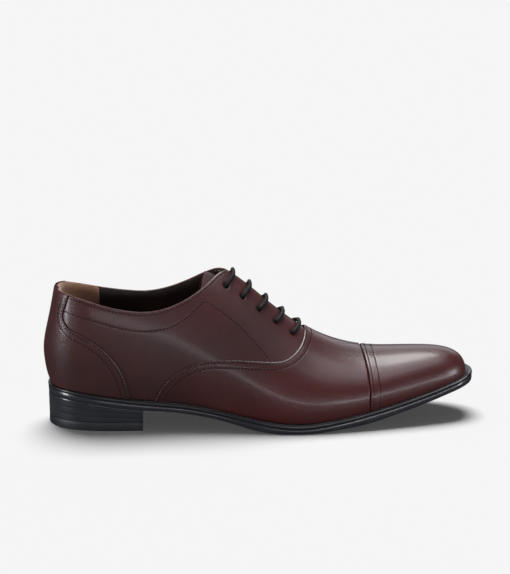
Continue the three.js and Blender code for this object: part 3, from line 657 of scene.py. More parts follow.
def lining_leather(name, deep, main):
    """Thin unpolished lining leather with a flat grain."""
    finish = Finish(name, Specular_IOR_Level=0.3)
    clouds = finish.between(finish.noise(30, 3, 0.55), 0.35, 0.65)
    finish.use(Base_Color=finish.mixed(clouds, shade(*deep), shade(*main)))
    grain = finish.between(finish.cells(900), 0.0, 0.3)
    finish.use(Roughness=finish.noise(220, 3) * 0.2 + 0.42)
    finish.bump(grain * 0.6 + finish.noise(1800, 2) * 0.5, 0.35, 0.00018)
    return finish.material


def cut_edge(name, deep, main):
    """The fibrous cut edge of leather, lightly dyed."""
    finish = Finish(name, Specular_IOR_Level=0.1)
    fibres = finish.noise(1600, 3, 0.7)
    finish.use(Base_Color=finish.mixed(finish.between(fibres, 0.3, 0.7), shade(*deep), shade(*main)))
    finish.use(Roughness=fibres * 0.2 + 0.65)
    finish.bump(fibres, 0.4, 0.0002)
    return finish.material


def inked_edge(name, colour, gloss, coat):
    """Sole leather inked black and burnished: faint layers under a wax shine."""
    finish = Finish(name, Coat_Weight=coat, Coat_Roughness=0.16, Specular_IOR_Level=0.3)
    dust = finish.between(finish.noise(70, 4, 0.6), 0.45, 0.8)
    lighter = tuple(c * 1.5 + 0.001 for c in shade(*colour)[:3]) + (1.0,)
    finish.use(Base_Color=finish.mixed(dust, shade(*colour), lighter))
    layers = finish.node("ShaderNodeMapping", {}, {"Vector": finish.place, "Scale": (25, 25, 1400)})
    strata = finish.noise(1, 2, 0.5, layers.outputs[0])
    finish.use(Roughness=finish.noise(120, 3) * 0.1 + strata * 0.06 + gloss)
    finish.bump(finish.noise(500, 2), 0.1, 0.00005)
    return finish.material


def rubber(name, colour):
    """Moulded rubber or plastic with a fine matt skin."""
    finish = Finish(name, Specular_IOR_Level=0.4)
    skin = finish.noise(1500, 3, 0.65)
    wear = finish.between(finish.noise(55, 4, 0.6), 0.45, 0.75)
    lighter = tuple(c * 1.7 + 0.003 for c in shade(*colour)[:3]) + (1.0,)
    finish.use(Base_Color=finish.mixed(wear, shade(*colour), lighter))
    finish.use(Roughness=skin * 0.15 + 0.42)
    finish.bump(skin, 0.3, 0.00012)
    return finish.material


BRAID_TURNS = 3.0
BRAID_PITCH = 0.0016


def waxed_braid(name, colour):
    """Round waxed lace: two sets of strands wound opposite ways, following the lace's own length and turn."""
    finish = Finish(name, Specular_IOR_Level=0.18)
    length = finish.attribute("along")
    turn = finish.attribute("around")
    strands = []
    for way in (1, -1):
        phase = length * (2 * math.pi / BRAID_PITCH) + turn * (way * BRAID_TURNS * 2 * math.pi)
        wave = Value(finish, finish.node("ShaderNodeMath", {"operation": "SINE"}, {0: phase}).outputs[0])
        strands.append(wave * 0.5 + 0.5)
    top = Value(finish, finish.node("ShaderNodeMath", {"operation": "MAXIMUM"},
                                    {0: strands[0], 1: strands[1]}).outputs[0])
    lighter = tuple(c * 2.0 + 0.002 for c in shade(*colour)[:3]) + (1.0,)
    finish.use(Base_Color=finish.mixed(top * 0.6, shade(*colour), lighter))
    finish.use(Roughness=finish.noise(800, 2) * 0.2 + 0.5)
    finish.bump(top + finish.noise(3000, 2) * 0.3, 0.7, 0.0003)
    return finish.material


def twisted_thread(name, deep, main):
    """Waxed sewing thread."""
    finish = Finish(name, Specular_IOR_Level=0.12)
    fibre = finish.noise(5200, 2, 0.6)
    finish.use(Base_Color=finish.mixed(finish.between(fibre, 0.3, 0.7), shade(*deep), shade(*main)))
    finish.use(Roughness=fibre * 0.2 + 0.6)
    finish.bump(fibre, 0.4, 0.00008)
    return finish.material


def metal(name, colour, roughness):
    """Drawn metal, faintly clouded."""
    finish = Finish(name, Metallic=1.0)
    clouds = finish.noise(180, 4, 0.6)
    darker = tuple(c * 0.6 for c in shade(*colour)[:3]) + (1.0,)
    finish.use(Base_Color=finish.mixed(finish.between(clouds, 0.4, 0.8), shade(*colour), darker))
    finish.use(Roughness=clouds * 0.2 + roughness - 0.1)
    finish.bump(finish.noise(900, 3), 0.15, 0.0001)
    return finish.material


def granular(name, deep, main, scale):
    """Cork, board or canvas: two tones in grains of one size."""
    finish = Finish(name, Specular_IOR_Level=0.2)
    grains = finish.cells(scale, "F1")
    fine = finish.noise(scale * 3, 3, 0.6)
    finish.use(Base_Color=finish.mixed(finish.between(grains, 0.1, 0.7), shade(*deep), shade(*main)))
    finish.use(Roughness=fine * 0.15 + 0.8)
    finish.bump(grains + fine * 0.5, 0.5, 0.0003)
    return finish.material


burgundy = polished_leather("burgundy_leather", (42, 22, 22), (54, 27, 26), (72, 28, 26), 0.3, 0.24)
burgundy_quarter = polished_leather("burgundy_quarter", (43, 22, 22), (54, 26, 25), (72, 25, 23), 0.4, 0.2)
# Cut edges of the cap, vamp and counter: dyed dark, and darkened further as painted shade for the shadow line
# along these overlay edges.
dyed_edge_and_shade = cut_edge("burgundy_cut_edge_and_painted_shade", (26, 11, 10), (44, 19, 17))
pink_edge = cut_edge("topline_cut_edge", (66, 37, 33), (92, 55, 49))
dark_lining = lining_leather("dark_lining", (24, 13, 10), (40, 23, 17))
tan_suede = suede("tan_suede", (92, 62, 46), (132, 94, 70))
# Upper stitching thread: a dark thread made near black, partly painted shade standing in for the shadow in
# the stitch holes and grooves.
thread = twisted_thread("burgundy_thread_and_painted_shade", (9, 4, 4), (20, 9, 9))
welt_thread = twisted_thread("welt_thread", (40, 37, 38), (92, 86, 86))
black_edge = inked_edge("black_edge", (30, 30, 34), 0.26, 0.5)
black_welt = inked_edge("black_welt", (20, 19, 21), 0.36, 0.15)
black_rubber = rubber("black_rubber", (24, 24, 26))
lace_braid = waxed_braid("lace_braid", (5, 5, 6))
black_plastic = rubber("black_plastic", (18, 18, 19))
brass = metal("brass", (178, 140, 76), 0.35)
steel = metal("steel", (150, 152, 156), 0.4)
cork = granular("cork", (96, 62, 34), (164, 118, 74), 420)
board = granular("leather_board", (132, 104, 76), (176, 146, 112), 900)
canvas = granular("canvas", (158, 144, 122), (198, 186, 164), 1500)

node_finish = {"vamp_interlining": canvas, "toe_puff": canvas, "facing_stay": canvas, "heel_stiffener": board,
               "insole_board": board, "cork_filler": cork, "shank": steel, "eyelet": brass,
               "aglet": black_plastic}
for node_name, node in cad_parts.items():
    matches = [finish for stem, finish in node_finish.items() if node_name.startswith(stem)]
    node.data.materials.clear()
    node.data.materials.append(matches[0] if matches else black_edge)

# ---- leather of the upper -----------------------------------------------------------------------

CAP_ROWS = (2.2, 7.0)
OVERLAY_ROWS = (1.6, 5.4)
TOPLINE_ROW = 2.2
SIDES = (-1, 1)

cap_rows = [shifted_curve(cap_line, -row) for row in CAP_ROWS]
wing_rows = [shifted_curve(wing_line, -row) for row in OVERLAY_ROWS]
counter_rows = [shifted_curve(line, -side * row) for line, side in zip(counter_lines, SIDES)
                for row in OVERLAY_ROWS]
topline_rows = [shifted_curve(line, side * TOPLINE_ROW) for line, side in zip(topline_lines, SIDES)]
quarter_rows = [resampled(line, ROW_SPACING) for line in quarter_lines]

QUARTER_HOLE = 2.0
FACING_BACK = 100.0
FACING_FRONT = 187.0
RING_LENGTH = 300.0
CAP_STEP_LENGTH = 1.4
CAP_STEP_DEPTH = 1.3
hole_centres = [last_point(*ring_at_width(x, side * y)) for x, y in EYELET_ROWS for side in SIDES]


def clear_of_holes(p, hole):
    return np.min([np.linalg.norm(p - centre, axis=-1) for centre in hole_centres], axis=0) - hole


def beside_facing_gap(p, half):
    """Positive beside the gap between the two facings, and everywhere behind and ahead of it."""
    beyond = np.maximum(FACING_BACK - p[..., 0], p[..., 0] - FACING_FRONT)
    return np.maximum(np.abs(p[..., 1]) - half, beyond)


def on_side(ring, side):
    """Positive on one side of the crest, in about millimetres along the ring."""
    return (ring - 0.5) * side * RING_LENGTH + 0.01


def under_cap_edge(p):
    """The vamp steps down where it runs in under the toe cap."""
    ahead = signed_distance(cap_region, p[:, 0], p[:, 2])
    t = np.clip((ahead + CAP_STEP_LENGTH) / CAP_STEP_LENGTH, 0, 1)
    return CAP_STEP_DEPTH * t * t * (3 - 2 * t)


CAP_LAP = 4.0
WING_LAP = 6.0

toe_cap = leather_piece("toe_cap_leather", ahead_of_cap, OVERLAY_DEPTH, cap_rows, [cap_line],
                        [burgundy, dyed_edge_and_shade])
vamp = leather_piece(
    "vamp_leather", lambda p, ring: np.minimum(ahead_of_wing(p, ring), CAP_LAP - ahead_of_cap(p, ring)),
    OVERLAY_DEPTH, wing_rows, [wing_line, cap_line], [burgundy, dyed_edge_and_shade], under_cap_edge)
counter_cover = leather_piece(
    "counter_leather", lambda p, ring: np.minimum(behind_counter(p, ring), below_topline(p, ring)),
    OVERLAY_DEPTH, counter_rows, [*counter_lines, *topline_lines], [burgundy_quarter, dyed_edge_and_shade])
finished_piece(toe_cap, "shoe", "burgundy_leather", "toe_cap")
finished_piece(vamp, "shoe", "burgundy_leather", "vamp")
finished_piece(counter_cover, "shoe", "burgundy_leather", "counter_cover")


def quarter(name, side, topline, rows):
    def inside(p, ring):
        return np.min([below_topline(p, ring), WING_LAP - ahead_of_wing(p, ring), on_side(ring, side),
                       beside_facing_gap(p, FACING_GAP / 2), clear_of_holes(p, QUARTER_HOLE)], axis=0)
    piece = leather_piece(f"quarter_{name}_leather", inside, QUARTER_DEPTH, rows, [topline],
                          [burgundy_quarter, pink_edge])
    return finished_piece(piece, "shoe", "burgundy_leather", f"quarter_{name}")


quarter("lateral", -1, topline_lines[0], [topline_rows[0], quarter_rows[0]])
quarter("medial", 1, topline_lines[1], [topline_rows[1], quarter_rows[1]])

# ---- linings ------------------------------------------------------------------------------------

LINING_AT_TOPLINE = 2.5
LINING_DEEP = 3.7
LINING_THICKNESS = 0.8
LINING_PLAY = 0.05
LINING_TAPER = 3.0
LINING_ROUNDING = 0.25
GRIP_PADDING = 0.9
GRIP_EDGE = 38.0
LINING_JOINT = [(96, 8), (112, 34), (150, 42), (176, 46), (189, 70)]
LINING_HOLE = 2.6
grip_region = [(GRIP_EDGE - 4, -FAR), (GRIP_EDGE, 60), (GRIP_EDGE + 2, FAR), (-FAR, FAR), (-FAR, -FAR)]
joint_region = closed_outline(LINING_JOINT, (189, FAR), (FAR, FAR), (FAR, -FAR), (94, -FAR))
behind_grip_edge = inside_of(grip_region)
ahead_of_joint = inside_of(joint_region)


def lining(name, inside, finish, *nodes, slot="dark_lining", padding=0.0, stride=2):
    """A lining shell, thinned in towards the topline. Padding thickens it below."""
    def whole(p, ring):
        return np.min([below_topline(p, ring), beside_facing_gap(p, FACING_GAP / 2 + 1),
                       clear_of_holes(p, LINING_HOLE), inside(p, ring)], axis=0)
    places, faces, value = clipped(whole, stride)
    points = last_point(places[:, 0], places[:, 1])
    edge = np.clip(below_topline(points, places[:, 1]) / LINING_TAPER, 0, 1)
    outer = LINING_AT_TOPLINE + (LINING_DEEP - LINING_AT_TOPLINE) * edge
    rounding = LINING_ROUNDING * np.clip(1 - value / ROUNDED_EDGE, 0, 1) ** 2
    piece = shell(name, places, faces, outer + LINING_PLAY,
                  outer + LINING_THICKNESS + padding * edge - rounding, [finish, finish])
    return finished_piece(piece, "shoe", slot, *nodes)


def between_grip_and_joint(p, ring):
    return np.minimum(-behind_grip_edge(p, ring), -ahead_of_joint(p, ring))


lining("heel_grip_suede", behind_grip_edge, tan_suede, "heel_grip_lining", slot="tan_suede",
       padding=GRIP_PADDING, stride=1)
lining("quarter_lining_leather", between_grip_and_joint, dark_lining, "quarter_lining_lateral",
       "quarter_lining_medial")
lining("vamp_lining_leather", ahead_of_joint, dark_lining, "vamp_lining")

# ---- tongue -------------------------------------------------------------------------------------

TONGUE_THICKNESS = 1.3
TONGUE_TOP = 115.5
TONGUE_END = 181.5
TONGUE_ROWS = 110
TONGUE_COLUMNS = 72
TONGUE_STATIONS = (96, 140, 183)
TONGUE_HALF_WIDTHS = (27, 29, 22)
TONGUE_SIDE_FALL = 10.5
TONGUE_CORNER_RISE = 7.0
TONGUE_SMOOTHING = 14
TONGUE_EDGE_RADIUS = 0.35
TONGUE_LINING_PLAY = 0.25
TONGUE_LINING_INSET = 1.5


def tongue_sheet(name, below, inset, thickness, finish):
    """A sheet under the facings, smoothed over the ridge of the instep, with rounded top corners."""
    u, v = np.meshgrid(np.linspace(0, 1, TONGUE_ROWS), np.linspace(-1, 1, TONGUE_COLUMNS), indexing="ij")
    top = TONGUE_TOP + inset - TONGUE_SIDE_FALL * np.abs(v) ** 1.5 + TONGUE_CORNER_RISE * np.abs(v) ** 10
    x = top + (TONGUE_END - inset - top) * u
    half = np.interp(x, TONGUE_STATIONS, TONGUE_HALF_WIDTHS) - inset
    s, ring = ring_at_width(x, v * half)
    points, _, _, normals = last_frame(s, ring)
    sheet = inward(points, normals, np.full(x.shape, TONGUE_DEPTH + below))
    for _ in range(TONGUE_SMOOTHING):
        sheet[:, 1:-1] = (sheet[:, :-2] + 2 * sheet[:, 1:-1] + sheet[:, 2:]) / 4
    index = np.arange(x.size).reshape(x.shape)
    cells = np.stack([index[:-1, :-1], index[1:, :-1], index[1:, 1:], index[:-1, 1:]], -1).reshape(-1, 4)
    obj = mesh_object(name, sheet.reshape(-1, 3), [tuple(map(int, c)) for c in cells], [finish], None, 180)
    wall = obj.modifiers.new("thickness", "SOLIDIFY")
    wall.thickness = thickness / 1000
    wall.offset = -1
    edge = obj.modifiers.new("rounded edge", "BEVEL")
    edge.width = TONGUE_EDGE_RADIUS / 1000
    edge.segments = 2
    edge.limit_method = "ANGLE"
    return obj


finished_piece(tongue_sheet("tongue_leather", 0.1, 0, TONGUE_THICKNESS, burgundy_quarter), "tongue",
               "burgundy_leather", "tongue")
under_tongue = tongue_sheet("tongue_lining_leather", TONGUE_THICKNESS + TONGUE_LINING_PLAY,
                            TONGUE_LINING_INSET, LINING_THICKNESS, dark_lining)
finished_piece(under_tongue, "tongue", "dark_lining", "tongue_lining")

# ---- sole unit ----------------------------------------------------------------------------------

def sole_station(x):
    return np.arccos(np.clip(1 - 2 * np.asarray(x, float) / SOLE_LENGTH, -1, 1)) / math.pi


def sole_along(points):
    return Spline([(float(sole_station(x)), value) for x, value in points])


sole_outer = sole_along([(0, 0), (3, 13), (10, 22), (20, 28), (35, 32), (60, 33.5), (90, 35), (130, 42),
                         (149, 48), (172, 52.6), (200, 50.4), (224, 45.6), (242, 40.6), (258, 35.8),
                         (273, 30.8), (285, 26.2), (294, 21.6), (300, 16), (303.4, 10.2), (305, 0)])
sole_inner = sole_along([(0, 0), (3, 13), (10, 22), (20, 28), (35, 31.6), (60, 32), (90, 29.5), (115, 29.5),
                         (150, 36), (180, 46.5), (200, 50.5), (230, 47), (260, 37), (273, 32), (285, 27),
                         (294, 22), (300, 16), (303.4, 10.2), (305, 0)])
tread_curve = Spline([(-5, 22.9), (20, 21.2), (43, 17.8), (68, 14.8), (85, 13.6), (102, 11.4), (122, 7.6),
                      (143, 2.2), (155, 0.4), (166, 0), (184, 0), (202, 1.6), (224, 4.2), (242, 8.1),
                      (258, 12.1), (273, 16.1), (285, 19.5), (300, 23.4), (310, 25.6)])


def welt_upper(x):
    return welt_top(station_of(x))


def welt_lower(x):
    return welt_upper(x) - WELT_THICKNESS


def tread(x):
    return np.where((x > 165) & (x < 185), 0.0, np.maximum(0, tread_curve(x)))


def sole_loop(count=230, last_x=SOLE_LENGTH):
    """The sole outline as a closed loop with outward directions, and the middle point level with each."""
    s = np.linspace(0, float(sole_station(last_x)), count)
    x = SOLE_LENGTH * (1 - np.cos(math.pi * s)) / 2
    outer = np.stack([x, -sole_outer(s)], 1)
    inner = np.stack([x, sole_inner(s)], 1)
    middle = (outer + inner) / 2
    whole = last_x >= SOLE_LENGTH
    loop = np.vstack([outer, inner[-2:0:-1] if whole else inner[:0:-1]])
    middles = np.vstack([middle, middle[-2:0:-1] if whole else middle[:0:-1]])
    ahead = np.roll(loop, -1, axis=0) - np.roll(loop, 1, axis=0)
    ahead /= np.linalg.norm(ahead, axis=1, keepdims=True)
    return loop, np.stack([ahead[:, 1], -ahead[:, 0]], 1), middles


def moved_in(loop, out, inset):
    return loop - out * inset


def stacked(name, rings, closes_on_itself, finishes, flat_angle=40):
    """A closed solid from rings of points, listed from its top over the rim to its bottom."""
    count = len(rings[0])
    points = np.vstack(rings)
    faces = []
    pairs = list(zip(range(len(rings) - 1), range(1, len(rings))))
    if closes_on_itself:
        pairs.append((len(rings) - 1, 0))
    for a, b in pairs:
        for i in range(count):
            j = (i + 1) % count
            faces.append((a * count + i, b * count + i, b * count + j, a * count + j))
    first, _, faces = merged(points, faces)
    return mesh_object(name, points[first], faces, finishes, None, flat_angle)


def ring_at(flat, height):
    z = height(flat[:, 0]) if callable(height) else np.full(len(flat), float(height))
    return np.column_stack([flat, z])


def cap_rings(flat, middles, height, shares):
    """Rings drawn from an edge in to the middle line, which is kept within the length of that edge."""
    within = np.clip(middles[:, 0], flat[:, 0].min(), flat[:, 0].max())
    middles = np.column_stack([within, middles[:, 1]])
    return [ring_at(flat + (middles - flat) * share, height) for share in shares]


WELT_PROFILE = [(9, 0.0), (6, 0.0), (3.4, 0.0), (3.0, -0.22), (2.6, 0.0), (1.4, 0.0), (0.55, -0.06),
                (0.15, -0.3), (0.0, -0.75), (0.0, -1.5), (0.15, -1.95), (0.6, -2.2), (9, -2.2)]
OUTSOLE_EDGE = [(1.2, 0.0), (0.62, 0.02), (0.36, 0.14), (0.27, 0.4), (0.3, 0.66), (0.48, 0.86), (0.8, 0.97),
                (1.3, 1.0)]
OUTSOLE_PLAY = 0.12


def welt_piece():
    """A strip round the sole. Its profile goes by inset and drop, with a channel for the stitches."""
    loop, out, _ = sole_loop()
    rings = [ring_at(moved_in(loop, out, inset), lambda x, d=drop: welt_upper(x) + d)
             for inset, drop in WELT_PROFILE]
    return stacked("welt_leather", rings, True, [black_welt])


def outsole_piece():
    """The outsole. Its edge goes by inset and share of its thickness."""
    loop, out, middles = sole_loop()

    def height(share):
        return lambda x: (welt_lower(x) - OUTSOLE_PLAY) * (1 - share) + tread(x) * share
    rings = cap_rings(moved_in(loop, out, OUTSOLE_EDGE[0][0]), middles, height(0), (1, 0.6, 0.25))
    rings += [ring_at(moved_in(loop, out, inset), height(share)) for inset, share in OUTSOLE_EDGE]
    rings += cap_rings(moved_in(loop, out, OUTSOLE_EDGE[-1][0]), middles, height(1), (0.25, 0.5, 0.75, 1))
    return stacked("outsole_leather", rings, False, [black_edge])


HEEL_STATIONS = 130
BREAST_HOLLOW = 8.0


def heel_loop():
    """The sole outline back from the breast, closed by the hollowed breast face."""
    loop, out, _ = sole_loop(HEEL_STATIONS, HEEL_BREAST)
    last_outer, first_inner = loop[HEEL_STATIONS - 1], loop[HEEL_STATIONS]
    t = np.linspace(0, 1, 26)[1:-1]
    y = last_outer[1] + (first_inner[1] - last_outer[1]) * t
    face = np.column_stack([HEEL_BREAST - BREAST_HOLLOW * t * (1 - t), y])
    whole = np.vstack([loop[:HEEL_STATIONS], face, loop[HEEL_STATIONS:]])
    directions = np.vstack([out[:HEEL_STATIONS], np.tile([1.0, 0.0], (len(face), 1)), out[HEEL_STATIONS:]])
    return whole, directions


HEEL_CENTRE = np.array([33.0, 0.0])


def heel_piece(name, levels, height, finishes):
    loop, out = heel_loop()
    centre = np.tile(HEEL_CENTRE, (len(loop), 1))
    first, last = levels[0], levels[-1]
    rings = cap_rings(moved_in(loop, out, first[1]), centre, height(first[0]), (1, 0.5))
    rings += [ring_at(moved_in(loop, out, inset), height(share)) for share, inset in levels]
    rings += cap_rings(moved_in(loop, out, last[1]), centre, height(last[0]), (0.5, 1))
    return stacked(name, rings, False, finishes, 55)


STACK_PLAY = (0.05, 0.12)
STACK_INSET = 0.5
LIFT_TAPER = 0.12
SEAM_INSET = 0.1


def stack_height(share):
    above, below = STACK_PLAY
    return lambda x: (tread(x) - above) * (1 - share) + (TOP_LIFT + below) * share


def seam_levels(count):
    """Levels down the heel stack by share and inset: each lift swells slightly between thin seams."""
    levels = [(0.0, 0.7)]
    for lift in range(count):
        start, end = lift / count, (lift + 1) / count
        inset = STACK_INSET + LIFT_TAPER * lift
        levels += [(start + 0.012, inset + 0.03), (start + 0.05, inset), ((start + end) / 2, inset),
                   (end - 0.05, inset + 0.02), (end - 0.012, inset + 0.04)]
        if lift < count - 1:
            levels.append((end, inset + SEAM_INSET))
    return levels + [(1.0, 1.15)]


TOP_PIECE_LEVELS = [(0.0, 1.5), (0.05, 0.98), (0.12, 0.86), (0.5, 0.84), (0.9, 0.88), (0.97, 1.0), (1.0, 1.3)]


def top_piece_height(share):
    return TOP_LIFT * (1 - share)


finished_piece(welt_piece(), "shoe", "black_edge", "welt")
finished_piece(outsole_piece(), "shoe", "black_edge", "outsole")
finished_piece(heel_piece("heel_stack", seam_levels(LIFTS), stack_height, [black_edge]), "shoe", "black_edge",
               "heel_lift_1", "heel_lift_2", "heel_lift_3")
finished_piece(heel_piece("heel_top_piece", TOP_PIECE_LEVELS, top_piece_height, [black_rubber]), "shoe",
               "black_rubber", "heel_top_lift")

SOCK_BOTTOM = 2.95
SOCK_TOP = 3.75
SOCK_INSET = 12.6
SOCK_DISH = 0.3


def sock_piece():
    """The sock lining, lifted from the welt's level and slightly dished along its middle."""
    loop, out, middles = sole_loop(200)

    def height(lift):
        return lambda x: welt_upper(x) + lift
    edge = ((14.5, SOCK_TOP - 0.1), (13.2, SOCK_TOP), (12.7, SOCK_TOP - 0.25),
            (SOCK_INSET, SOCK_BOTTOM + 0.1), (13.0, SOCK_BOTTOM))
    rings = cap_rings(moved_in(loop, out, SOCK_INSET), middles, height(SOCK_TOP - SOCK_DISH), (1, 0.7, 0.4))
    rings += [ring_at(moved_in(loop, out, inset), height(lift)) for inset, lift in edge]
    rings += cap_rings(moved_in(loop, out, edge[-1][0]), middles, height(SOCK_BOTTOM), (0.5, 1))
    return stacked("sock_lining_leather", rings, False, [dark_lining])


finished_piece(sock_piece(), "shoe", "dark_lining", "sock_lining")

# ---- lace ---------------------------------------------------------------------------------------

INSIDE = 6.7
OUTER_LANE = 18.5
INNER_LANE = 9.4
LACE_RADIUS = 1.5
LACE_SIDES = 18


def through_eyelet(row, side):
    """Route points (x, y, depth) from the bar down through one eyelet."""
    x, y = EYELET_ROWS[row]
    return [(x + 0.4 * BAR_LEAN, side * (y - 3.2), -0.5), (x + 0.3, side * (y - 0.5), 0.5),
            (x, side * y, 2.6), (x, side * y, 4.6)]


def bar_across(row, side):
    """One bar over the facings, starting from the given side."""
    middle = EYELET_ROWS[row][0] + 0.85 * BAR_LEAN
    crossing = [(middle, -6, -1.0), (middle + 0.05 * BAR_LEAN, 0, -0.75), (middle + 0.05 * BAR_LEAN, 6, -0.9)]
    return [*through_eyelet(row, side)[::-1], *(crossing if side < 0 else crossing[::-1]),
            *through_eyelet(row, -side)]


def lane_between(start, end, side, lane):
    """A hidden run beside the eyelets, from one row to another."""
    x0, y0 = EYELET_ROWS[start]
    x1, y1 = EYELET_ROWS[end]
    ahead = math.copysign(1, x1 - x0)
    first, last = x0 + 5 * ahead, x1 - 5 * ahead
    steps = max(1, round(abs(last - first) / 7))
    middle = [(first + (last - first) * k / steps, side * lane, INSIDE) for k in range(steps + 1)]
    return [(x0 + 1.6 * ahead, side * (0.7 * y0 + 0.3 * lane), INSIDE - 0.2), *middle,
            (x1 - 1.6 * ahead, side * (0.7 * y1 + 0.3 * lane), INSIDE - 0.2)]


def tail_from(row, side, lane):
    """The lace's end, tucked in under the facing."""
    x, y = EYELET_ROWS[row]
    return [(x + 1.6, side * (0.7 * y + 0.3 * lane), INSIDE - 0.2), (x + 5, side * lane, INSIDE),
            (x + 10, side * lane, INSIDE)]


lace_route = [*tail_from(1, -1, INNER_LANE)[::-1],
              *bar_across(1, -1), *lane_between(1, 3, 1, INNER_LANE),
              *bar_across(3, 1), *lane_between(3, 4, -1, INNER_LANE),
              *bar_across(4, -1), *lane_between(4, 2, 1, OUTER_LANE),
              *bar_across(2, 1), *lane_between(2, 0, -1, OUTER_LANE),
              *bar_across(0, -1), *tail_from(0, 1, OUTER_LANE)]


def on_upper(x, y, depth):
    s, ring = ring_at_width(x, y)
    point, _, _, normal = last_frame(s, ring)
    return point - normal * depth


def centripetal(points, spacing):
    """Centripetal Catmull-Rom curve through the points, evenly spaced."""
    p = np.vstack([2 * points[0] - points[1], points, 2 * points[-1] - points[-2]])
    dense = []
    for i in range(1, len(p) - 2):
        p0, p1, p2, p3 = p[i - 1:i + 3]
        t1 = np.linalg.norm(p1 - p0) ** 0.5
        t2 = t1 + np.linalg.norm(p2 - p1) ** 0.5
        t3 = t2 + np.linalg.norm(p3 - p2) ** 0.5
        for t in np.linspace(t1, t2, 24, endpoint=False):
            a1 = p0 * (t1 - t) / t1 + p1 * t / t1
            a2 = p1 * (t2 - t) / (t2 - t1) + p2 * (t - t1) / (t2 - t1)
            a3 = p2 * (t3 - t) / (t3 - t2) + p3 * (t - t2) / (t3 - t2)
            b1 = a1 * (t2 - t) / t2 + a2 * t / t2
            b2 = a2 * (t3 - t) / (t3 - t1) + a3 * (t - t1) / (t3 - t1)
            dense.append(b1 * (t2 - t) / (t2 - t1) + b2 * (t - t1) / (t2 - t1))
    dense = np.array(dense + [points[-1]])
    length = np.concatenate([[0], np.cumsum(np.linalg.norm(np.diff(dense, axis=0), axis=1))])
    even = np.linspace(0, length[-1], int(length[-1] / spacing))
    return np.stack([np.interp(even, length, dense[:, k]) for k in range(3)], 1), even


def lace_tube():
    """The lace as one swept round tube, its length and turn kept on the surface for the braid."""
    route = np.array([on_upper(x, y, depth) for x, y, depth in lace_route])
    centre, length = centripetal(route, 0.8)
    tangent = np.gradient(centre, axis=0)
    tangent /= np.linalg.norm(tangent, axis=1, keepdims=True)
    across = np.cross(tangent[0], (0, 0, 1))
    rings = []
    turns = np.arange(LACE_SIDES) / LACE_SIDES
    for point, ahead in zip(centre, tangent):
        across = across - ahead * across.dot(ahead)
        across /= np.linalg.norm(across)
        up = np.cross(across, ahead)
        angle = 2 * math.pi * turns
        rings.append(point + LACE_RADIUS * (np.cos(angle)[:, None] * across + np.sin(angle)[:, None] * up))
    count = len(rings)
    points = np.vstack([*rings, centre[:1], centre[-1:]])
    faces = []
    for i in range(count - 1):
        for k in range(LACE_SIDES):
            after = (k + 1) % LACE_SIDES
            faces.append((i * LACE_SIDES + k, i * LACE_SIDES + after, (i + 1) * LACE_SIDES + after,
                          (i + 1) * LACE_SIDES + k))
    start, end = count * LACE_SIDES, count * LACE_SIDES + 1
    for k in range(LACE_SIDES):
        after = (k + 1) % LACE_SIDES
        faces.append((start, after, k))
        faces.append((end, (count - 1) * LACE_SIDES + k, (count - 1) * LACE_SIDES + after))
    obj = mesh_object("lace_cord", points, faces, [lace_braid])
    shape = bmesh.new()
    shape.from_mesh(obj.data)
    bmesh.ops.recalc_face_normals(shape, faces=shape.faces)
    shape.to_mesh(obj.data)
    shape.free()
    along_values = np.concatenate([np.repeat(length, LACE_SIDES), length[:1], length[-1:]]) / 1000
    around_values = np.concatenate([np.tile(1 - np.abs(2 * turns - 1), count), [0, 0]])
    for key, values in (("along", along_values), ("around", around_values)):
        layer = obj.data.attributes.new(key, "FLOAT", "POINT")
        layer.data.foreach_set("value", values.astype(np.float32))
    return obj


finished_piece(lace_tube(), "shoe", "black_lace", "lace")

# ---- stitches and nails -------------------------------------------------------------------------

SEED = 7


